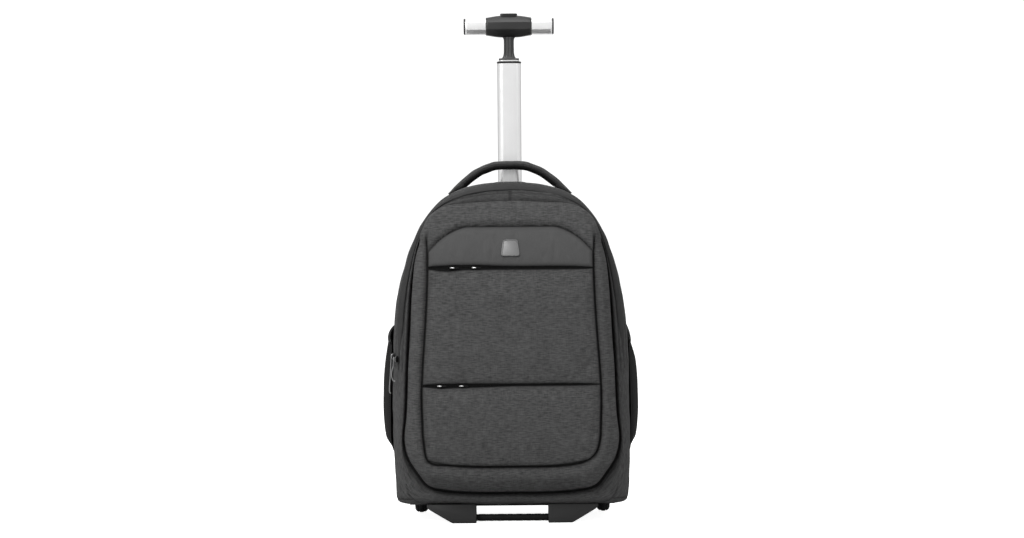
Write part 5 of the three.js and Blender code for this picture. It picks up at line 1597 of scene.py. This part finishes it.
# Shoulder straps, with their adjusters and webbing
STRAP_WIDTH = 62
STRAP_THICK = 11
STRAP_BOW = 26
WEBBING_WIDTH = 25
WEBBING_THICK = 1.6
STRAP_PATH = columns(
    "up out bow width thick",
    (0.93, 0.239, 0, 0.8, 0.6), (0.9, 0.244, 0.16, 0.92, 1),
    (0.83, 0.261, 0.5, 1, 1), (0.75, 0.295, 0.8, 1, 1),
    (0.66, 0.341, 1, 0.97, 1), (0.57, 0.398, 1, 0.92, 1), (0.48, 0.46, 0.78, 0.85, 0.95),
    (0.41, 0.517, 0.45, 0.76, 0.9), (0.36, 0.557, 0.2, 0.68, 0.8), (0.345, 0.568, 0.14, 0.62, 0.55),
)
ADJUSTER_OUT, ADJUSTER_WIDTH, ADJUSTER_HEIGHT, ADJUSTER_THICK = 0.585, 33, 20, 4.5
ADJUSTER_UP = STRAP_PATH["up"][-1] - (ADJUSTER_HEIGHT / 2 + 3.4) / BAG_HEIGHT
ADJUSTER_LIFT = STRAP_PATH["bow"][-1] * STRAP_BOW + 3
WEBBING_PATH = columns("share lift", (0, 1), (0.3, 0.8), (0.65, 0.4), (0.92, 0.02), (1, 0))
WEBBING_END_OUT, WEBBING_END_UP = 0.795, 0.135


def back_point(out, up, lift, side=1):
    x = np.asarray(out) * HALF_WIDTH
    z = height_at(np.asarray(up))
    return np.stack([side * x, panel_y(x, z) + lift, z], -1)


def strap(name, side):
    path = STRAP_PATH
    lift = path["bow"] * STRAP_BOW + path["thick"] * STRAP_THICK / 2 + LOOSE_GAP * 2
    at = back_point(path["out"], path["up"], lift, side)
    fine = spline(at, 120)
    key = np.linspace(0, 1, len(at))
    t = np.linspace(0, 1, 120)
    width = np.interp(t, key, path["width"]) * STRAP_WIDTH
    thick = np.interp(t, key, path["thick"]) * STRAP_THICK
    section = oval(2, 2, 40, 0.62)
    points, faces = swept(fine, X, width, thick, section)
    points[:, 1] += 0.4 * ripples(points, 40, 51)
    length = np.concatenate([[0], np.cumsum(np.linalg.norm(np.diff(fine, axis=0), axis=1))])
    weave = np.column_stack([np.tile(np.arange(40) * 3.2, 120), np.repeat(length, 40)])
    obj = piece(
        f"strap_pad_{name}", (points, faces), BACK_CLOTH, "bag", f"shoulder_strap_{name}",
        weave=weave,
    )
    rings = points.reshape(120, 40, 3)
    edges = []
    for column in (0, 20):
        edge = rings[2:-2, column] + (rings[2:-2, column] - fine[2:-2]) * 0.01
        edges.append(wire(edge, 1.7, 8))
    made = joined(*edges)
    piece(f"strap_binding_{name}", made, WEBBING, "bag", weave=made[0][:, [0, 2]])
    off = unit(np.cross(np.gradient(fine, axis=0), X))
    if off[60, 1] < 0:
        off = -off
    line = (fine + off * (thick[:, None] / 2 + 0.5))[10:-12]
    tape = swept(line, X, 20, 1.2, rectangle(2, 2, 0.5, 2))
    count = len(rectangle(2, 2, 0.5, 2))
    tape_weave = np.column_stack([tape[0][:, 0], np.repeat(length[10:-12], count)])
    piece(f"strap_tape_{name}", tape, WEBBING, "bag", weave=tape_weave)
    threads = [stitched(line + X * s * 8.2 + off[10:-12] * 0.7, off[60]) for s in (-1, 1)]
    for up in (0.2, 0.45, 0.7):
        k = int(up * len(line))
        cross = np.linspace(line[k] - X * 8, line[k] + X * 8, 12) + off[10 + k] * 0.7
        threads.append(stitched(cross, off[10 + k]))
    made = joined(*threads)
    piece(f"strap_stitches_{name}", made, THREAD, "bag", weave=made[0][:, [0, 2]])

    frame_loop = rectangle(ADJUSTER_WIDTH, ADJUSTER_HEIGHT, 4, 5)
    bars = [prism(rectangle(ADJUSTER_WIDTH - 1, 3.4, 1.2, 3), -ADJUSTER_THICK / 2, ADJUSTER_THICK / 2, 0.8)]
    edge_ring = wire(at_height(inset(frame_loop, 1.9), 0), 2.1, 10, closed=True)
    centre = back_point(ADJUSTER_OUT, ADJUSTER_UP, ADJUSTER_LIFT, side)
    made = based(joined(edge_ring, *bars), X, Z, -Y, centre)
    piece(f"adjuster_frame_{name}", made, DARK_PLASTIC, "bag", f"adjuster_{name}")

    top_up = ADJUSTER_UP - (ADJUSTER_HEIGHT / 2 + 6) / BAG_HEIGHT
    share = WEBBING_PATH["share"]
    path_points = back_point(
        ADJUSTER_OUT + (WEBBING_END_OUT - ADJUSTER_OUT) * share,
        top_up + (WEBBING_END_UP - top_up) * share,
        WEBBING_THICK + WEBBING_PATH["lift"] * ADJUSTER_LIFT,
        side,
    )
    loop_points = np.vstack([
        centre + (0, 2.6, 9), centre + (0, 3.2, 3), centre + (0, 3.2, -3), centre + (0, 2.4, -9), path_points,
    ])
    band = spline(loop_points, 90)
    tape = swept(band, (1, 0, 0.35 * side), WEBBING_WIDTH, WEBBING_THICK, rectangle(2, 2, 0.6, 3))
    count = len(rectangle(2, 2, 0.6, 3))
    length = np.concatenate([[0], np.cumsum(np.linalg.norm(np.diff(band, axis=0), axis=1))])
    tape_weave = np.column_stack([np.tile(rectangle(25, 2, 0.5, 3)[:, 0], 90), np.repeat(length, count)])
    piece(f"webbing_tape_{name}", tape, WEBBING, "bag", f"webbing_{name}", weave=tape_weave)


strap("right", 1)
strap("left", -1)

# Tray, foot and wheels
WHEEL_RADIUS = 32
WHEEL_WIDTH = 19
WHEEL_X = 139.4
WHEEL_Y = 76
TYRE_DEPTH = 7
AXLE_RADIUS = 3
CHEEK = 4.5
TREAD_BLOCKS = 40
CROWN = 6
TREAD_REACH = 0.966
SPOKES = 6
SPOKE_PATH = ((9, 3.6), (13, 4.2), (18, 4.4), (21.4, 3.6))


def refined(name, node_name, material, bevel):
    """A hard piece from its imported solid, with its flat faces whole and its edges rounded."""
    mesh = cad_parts[node_name].data.copy()
    mesh.name = name
    tidy = bmesh.new()
    tidy.from_mesh(mesh)
    bmesh.ops.remove_doubles(tidy, verts=tidy.verts, dist=1e-6)
    bmesh.ops.dissolve_limit(tidy, angle_limit=math.radians(1), verts=tidy.verts, edges=tidy.edges)
    tidy.to_mesh(mesh)
    tidy.free()
    mesh.materials.clear()
    mesh.materials.append(material)
    obj = bpy.data.objects.new(name, mesh)
    bpy.context.scene.collection.objects.link(obj)
    modifier = obj.modifiers.new("round", "BEVEL")
    modifier.width = bevel * MM
    modifier.segments = 3
    modifier.limit_method = "ANGLE"
    modifier.angle_limit = math.radians(25)
    modifier.harden_normals = False
    applied(obj)
    obj.data.shade_smooth()
    obj.data.set_sharp_from_angle(angle=math.radians(32))
    return finished(obj, "bag", node_name)


refined("tray_shown", "base_tray", PLASTIC, 0.8)


def foot(side_name):
    return refined(f"foot_bracket_{side_name}", f"foot_{side_name}", PLASTIC, 1.4)


foot("right")
foot("left")


def foot_bar():
    low, high = (np.array(c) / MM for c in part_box("foot_bar"))
    middle = (low + high) / 2 + (0, SHIFT_Y, 0)
    radius = (high[2] - low[2]) / 2
    half = (high[0] - low[0]) / 2
    profile = [(0.01, -half), (radius - 0.6, -half), (radius, -half + 0.6)]
    for k in np.linspace(-0.86, 0.86, 60):
        profile.append((radius - (0.35 if int((k + 2) * 60) % 4 == 0 else 0), k * half))
    profile += [(radius, half - 0.6), (radius - 0.6, half), (0.01, half)]
    made = shifted(lathe(profile, 40), middle)
    return piece("foot_bar_shown", made, BAR_PLASTIC, "bag", "foot_bar")


foot_bar()


def wheel(name, side):
    at = (side * WHEEL_X, WHEEL_Y, WHEEL_RADIUS)
    body = f"wheel_{name}"
    half = WHEEL_WIDTH / 2
    rim = WHEEL_RADIUS - TYRE_DEPTH
    tread = [(rim, -half + 1.5), (rim + 1.5, -half + 0.6)]
    for a in np.linspace(-75, 75, 21):
        groove = 0.9 if abs(abs(a) - 22) < 4 else 0
        radius = WHEEL_RADIUS - CROWN * (1 - math.cos(math.radians(a))) - groove
        tread.append((radius, half * math.sin(math.radians(a)) / TREAD_REACH))
    tread += [(rim + 1.5, half - 0.6), (rim, half - 1.5)]
    segments = TREAD_BLOCKS * 6
    points, faces = lathe(tread, segments)
    ring = np.repeat(np.arange(segments), len(tread))
    notch = (ring % 6 == 0) & (np.abs(points[:, 0]) > 4.5)
    radius = np.hypot(points[:, 1], points[:, 2])
    cut = np.where(notch & (radius > WHEEL_RADIUS - 4), 0.7, 0)
    points = points * (1 - (cut / radius)[:, None] * (0, 1, 1))
    piece(f"tyre_tread_{name}", shifted((points, faces), at), RUBBER, body, f"tyre_{name}")

    bore = AXLE_RADIUS + 0.3
    profile = [
        (bore, -half), (8, -half), (8.6, -half + 0.5), (9.4, -half + 4), (11, -half + 5.5),
        (rim - 5, -half + 5.5),
        (rim - 3.5, -half + 4.4), (rim - 2.6, -half + 2.4), (rim - 1, -half + 2), (rim - 1, half - 2),
        (rim - 2.6, half - 2.4), (rim - 3.5, half - 4.4), (rim - 5, half - 5.5), (11, half - 5.5),
        (9.4, half - 4), (8.6, half - 0.5), (8, half), (bore, half),
    ]
    parts = [lathe(profile, 96)]
    for face in (-1, 1):
        for k in range(SPOKES):
            a = 2 * np.pi * k / SPOKES
            way = np.array([0, math.cos(a), math.sin(a)])
            line = np.array([way * r + X * face * (half - h) for r, h in SPOKE_PATH])
            parts.append(swept(spline(line, 14), X, 2.4, 4.4, oval(2, 2, 12, 0.7)))
    made = shifted(joined(*parts), at)
    piece(f"hub_spokes_{name}", made, DARK_PLASTIC, body, f"hub_{name}")

    reach = WHEEL_WIDTH / 2 + 2 + CHEEK - SEAM_GAP
    pin = [
        (0.01, -reach), (AXLE_RADIUS - 0.4, -reach), (AXLE_RADIUS, -reach + 0.4),
        (AXLE_RADIUS, reach - 0.4), (AXLE_RADIUS - 0.4, reach), (0.01, reach),
    ]
    heads = []
    for face in (-1, 1):
        end = face * (reach + 0.9)
        shape = ((0.01, -0.6), (5.4, -0.6), (5.4, 0), (4.4, 0.8), (2, 1.1), (0.01, 1.1))
        heads.append([(radius, end + rise * face) for radius, rise in shape])
    parts = [lathe(pin, 32)] + [lathe(h, 32) for h in heads]
    piece(f"axle_bolt_{name}", shifted(joined(*parts), at), GUNMETAL, "bag", f"axle_{name}")
    refined(f"housing_{name}", f"wheel_housing_{name}", PLASTIC, 1.2)


wheel("right", 1)
wheel("left", -1)

# Trolley
LOWER_TUBE_SHOWS = 185.3
TUBE_LENGTH = 250
TUBE_WALL = 2.2
TUBE_CLEARANCE = 0.4
HOUSING_WALL = 1.4
UPPER_TUBE_WALL = 1.4
UPPER_SHOWS = 2.4
COLLAR_THICK = 2.5
COLLAR_LIP = 0.7
BEZEL_LIP = 6
BEZEL_THICK = 3.4
LOWER_TOP_Z = TOP_Z + LOWER_TUBE_SHOWS
COLLAR_Z = LOWER_TOP_Z + SEAM_GAP
UPPER_TOP_Z = COLLAR_Z + COLLAR_THICK + UPPER_SHOWS
NECK_BOTTOM_Z = UPPER_TOP_Z + SEAM_GAP
NECK_LENGTH = 34.6
SHELL_HEIGHT = 33
GRIP_Z = NECK_BOTTOM_Z + NECK_LENGTH + SEAM_GAP + SHELL_HEIGHT / 2
AT_TROLLEY = (0, TROLLEY_Y, 0)
AT_GRIP = (0, TROLLEY_Y, GRIP_Z)


def tube_loop(margin):
    return rectangle(TUBE_WIDTH + 2 * margin, TUBE_DEPTH + 2 * margin, TUBE_DEPTH / 2 + margin, 14)


def tube(name, node_name, outer, wall, low, high, material, body, bevel=0.4):
    made = sleeve(tube_loop(outer), tube_loop(outer - wall), low, high, bevel)
    return piece(name, shifted(made, AT_TROLLEY), material, body, node_name)


tube(
    "outer_tube", "lower_tube", 0, TUBE_WALL, LOWER_TOP_Z - TUBE_LENGTH, LOWER_TOP_Z, SILVER, "trolley_lower",
)
tube(
    "collar_ring", "lower_collar", COLLAR_LIP, COLLAR_LIP + TUBE_WALL, COLLAR_Z, COLLAR_Z + COLLAR_THICK,
    DARK_PLASTIC, "trolley_lower", 0.6,
)
UPPER_MARGIN = -TUBE_WALL - TUBE_CLEARANCE
tube(
    "inner_tube", "upper_tube", UPPER_MARGIN, UPPER_TUBE_WALL, UPPER_TOP_Z - TUBE_LENGTH, UPPER_TOP_Z, SILVER,
    "trolley_upper",
)


def bezel():
    inner = tube_loop(TUBE_CLEARANCE)
    outer = tube_loop(TUBE_CLEARANCE + HOUSING_WALL + BEZEL_LIP)
    low = TOP_Z + SEAM_GAP
    rings = [
        at_height(outer, low),
        at_height(outer, low + 1.2),
        at_height(inset(outer, 0.8), low + 2.2),
        at_height(inset(outer, 2.6), low + 3),
        at_height(inset(outer, BEZEL_LIP - 0.6), low + BEZEL_THICK),
        at_height(inset(inner, -0.5), low + BEZEL_THICK),
        at_height(inner, low + BEZEL_THICK - 0.6),
        at_height(inner, low - 8),
        at_height(inset(inner, -3), low - 8),
        at_height(inset(inner, -3), low),
    ]
    made = shifted(through_rings(rings, closed=True), AT_TROLLEY)
    return piece("bezel_frame", made, PLASTIC, "bag", "trolley_bezel")


bezel()
tube(
    "trolley_channel", "trolley_housing", TUBE_CLEARANCE + HOUSING_WALL, HOUSING_WALL,
    BASE_Z + MAIN_WALL + SEAM_GAP, TOP_Z, PLASTIC, "bag",
)

NECK_PROFILE = columns(
    "up width depth",
    (0, 31, 14.4), (0.06, 31, 14.4), (0.075, 24, 14), (0.1, 20.5, 13.4), (0.16, 18, 13.1), (0.24, 16.6, 12.8),
    (0.35, 15.7, 12.6), (0.88, 15.6, 12.6), (0.96, 17, 13), (1, 19, 13.6),
)


def neck():
    """Fluted neck, flared where it meets the tube and the grip, with painted shade in its flutes and on its
    sides.
    """
    rings, seams = [], []
    for up in np.concatenate([[0, 0.06, 0.066, 0.075, 0.085, 0.1, 0.13], np.linspace(0.16, 1, 30)]):
        width, depth = (along(NECK_PROFILE, "up", c, up) for c in ("width", "depth"))
        ring = oval(width, depth, 120, 0.62)
        share = smoothstep(up, 0.08, 0.2)
        off = np.abs(ring[:, 0])
        flutes = np.exp(-((off / 0.9) ** 2)) + np.exp(-(((off - 5) / 1.1) ** 2))
        ring[:, 1] -= np.sign(ring[:, 1]) * 1.1 * share * flutes
        # Painted shade: the seam value darkens the recessed flutes and the sides that turn away
        seams.append(0.75 * share * np.maximum(flutes, smoothstep(off, 5, 6.5)))
        rings.append(at_height(ring, NECK_BOTTOM_Z + up * NECK_LENGTH))
    made = shifted(through_rings(rings), AT_TROLLEY)
    return piece(
        "neck_ribbed", made, NECK_PLASTIC, "trolley_upper", "neck", seam=np.concatenate(seams)
    )


neck()

SHELL_LENGTH = 72
SHELL_END_HEIGHT = 25.6
SHELL_DEPTH = 28
GRIP_SPAN = 138
SLEEVE_DIAMETER = 24
CAP_THICK = 2.2
BUTTON_LENGTH = 26
BUTTON_DEPTH = 11
BUTTON_STANDS = 3.4
BUTTON_BODY = 8.8
SHELL_PROFILE = columns(
    "out size deep flat",
    (-1, 0, 0.86, 0.4), (-0.97, 0.06, 0.93, 0.4), (-0.88, 0.22, 0.96, 0.38), (-0.44, 0.93, 1, 0.33),
    (0, 1, 1, 0.32),
    (0.44, 0.93, 1, 0.33), (0.88, 0.22, 0.96, 0.38), (0.97, 0.06, 0.93, 0.4), (1, 0, 0.86, 0.4),
)


def sideways(loop, x):
    """A flat loop of (y, z) pairs at a place along X."""
    return np.column_stack([np.full(len(loop), x), loop])


def grip_shell():
    rings, seams = [], []
    for out in np.concatenate([[-1, -0.985, -0.96], np.linspace(-0.9, 0.9, 31), [0.96, 0.985, 1]]):
        size, deep, flat = (along(SHELL_PROFILE, "out", c, out) for c in ("size", "deep", "flat"))
        height = SHELL_END_HEIGHT + (SHELL_HEIGHT - SHELL_END_HEIGHT) * size
        trim = 1.2 * smoothstep(abs(out), 0.955, 1.0)
        loop = octagon(SHELL_DEPTH * deep - 2 * trim, height - 2 * trim, height * flat, 1.6)
        below = loop[:, 1] - height * flat / 2
        # Painted shade: a dark line along the upper edge of the flat faces, under the top bevel
        seams.append(np.where(below < 1, 0.55 * np.exp(-((below / 2) ** 2)), 0))
        rings.append(sideways(loop, out * SHELL_LENGTH / 2))
    made = shifted(through_rings(rings), AT_GRIP)
    obj = piece(
        "grip_housing", made, GRIP_PLASTIC, "trolley_upper", "grip_shell",
        seam=np.concatenate(seams),
    )
    hole = rectangle(BUTTON_LENGTH + 0.8, BUTTON_DEPTH + 0.8, 4, 6)
    floor = SHELL_HEIGHT / 2 + BUTTON_STANDS - BUTTON_BODY - 3.3
    cut_by(obj, shifted(prism(hole, floor, SHELL_HEIGHT / 2 + 5), AT_GRIP))
    return obj


grip_shell()


def grip_side(name, side):
    core_end = GRIP_SPAN / 2 - CAP_THICK - SEAM_GAP
    section = octagon(SLEEVE_DIAMETER, SLEEVE_DIAMETER, 11, 1.8)
    start = SHELL_LENGTH / 2 - 1.4
    rings = [sideways(inset(section, 0.5), start), sideways(section, start + 0.4)]
    rings += [sideways(section, x) for x in np.linspace(start + 1, core_end - 0.4, 12)]
    rings.append(sideways(inset(section, 0.3), core_end))
    made = shifted(through_rings(rings), AT_GRIP)
    made = (made[0] * (side, 1, 1), made[1])
    piece(f"sleeve_{name}", made, SILVER_SIDEWAYS, "trolley_upper", f"grip_sleeve_{name}")
    inner = core_end + SEAM_GAP
    rings = [
        sideways(inset(section, 0.2), inner),
        sideways(inset(section, -0.1), inner + 0.3),
        sideways(inset(section, -0.1), inner + 0.9),
        sideways(inset(section, 0.9), inner + CAP_THICK),
    ]
    cap = shifted(through_rings(rings), AT_GRIP)
    cap = (cap[0] * (side, 1, 1), cap[1])
    piece(f"cap_{name}", cap, DARK_PLASTIC, "trolley_upper", f"grip_cap_{name}")


grip_side("right", 1)
grip_side("left", -1)


def button():
    top = SHELL_HEIGHT / 2 + BUTTON_STANDS
    loop = rectangle(BUTTON_LENGTH, BUTTON_DEPTH, 3.6, 6)
    parts = [prism(loop, top - BUTTON_BODY, top - 0.3, 0.9)]
    for x in (-6, -3, 0, 3, 6):
        parts.append(shifted(prism(rectangle(1.2, 6.6, 0.55, 4), top - 1, top, 0.3), (x, 0, 0)))
    made = shifted(joined(*parts), AT_GRIP)
    return piece("button_ribbed", made, DARK_PLASTIC, "button", "grip_button")


button()
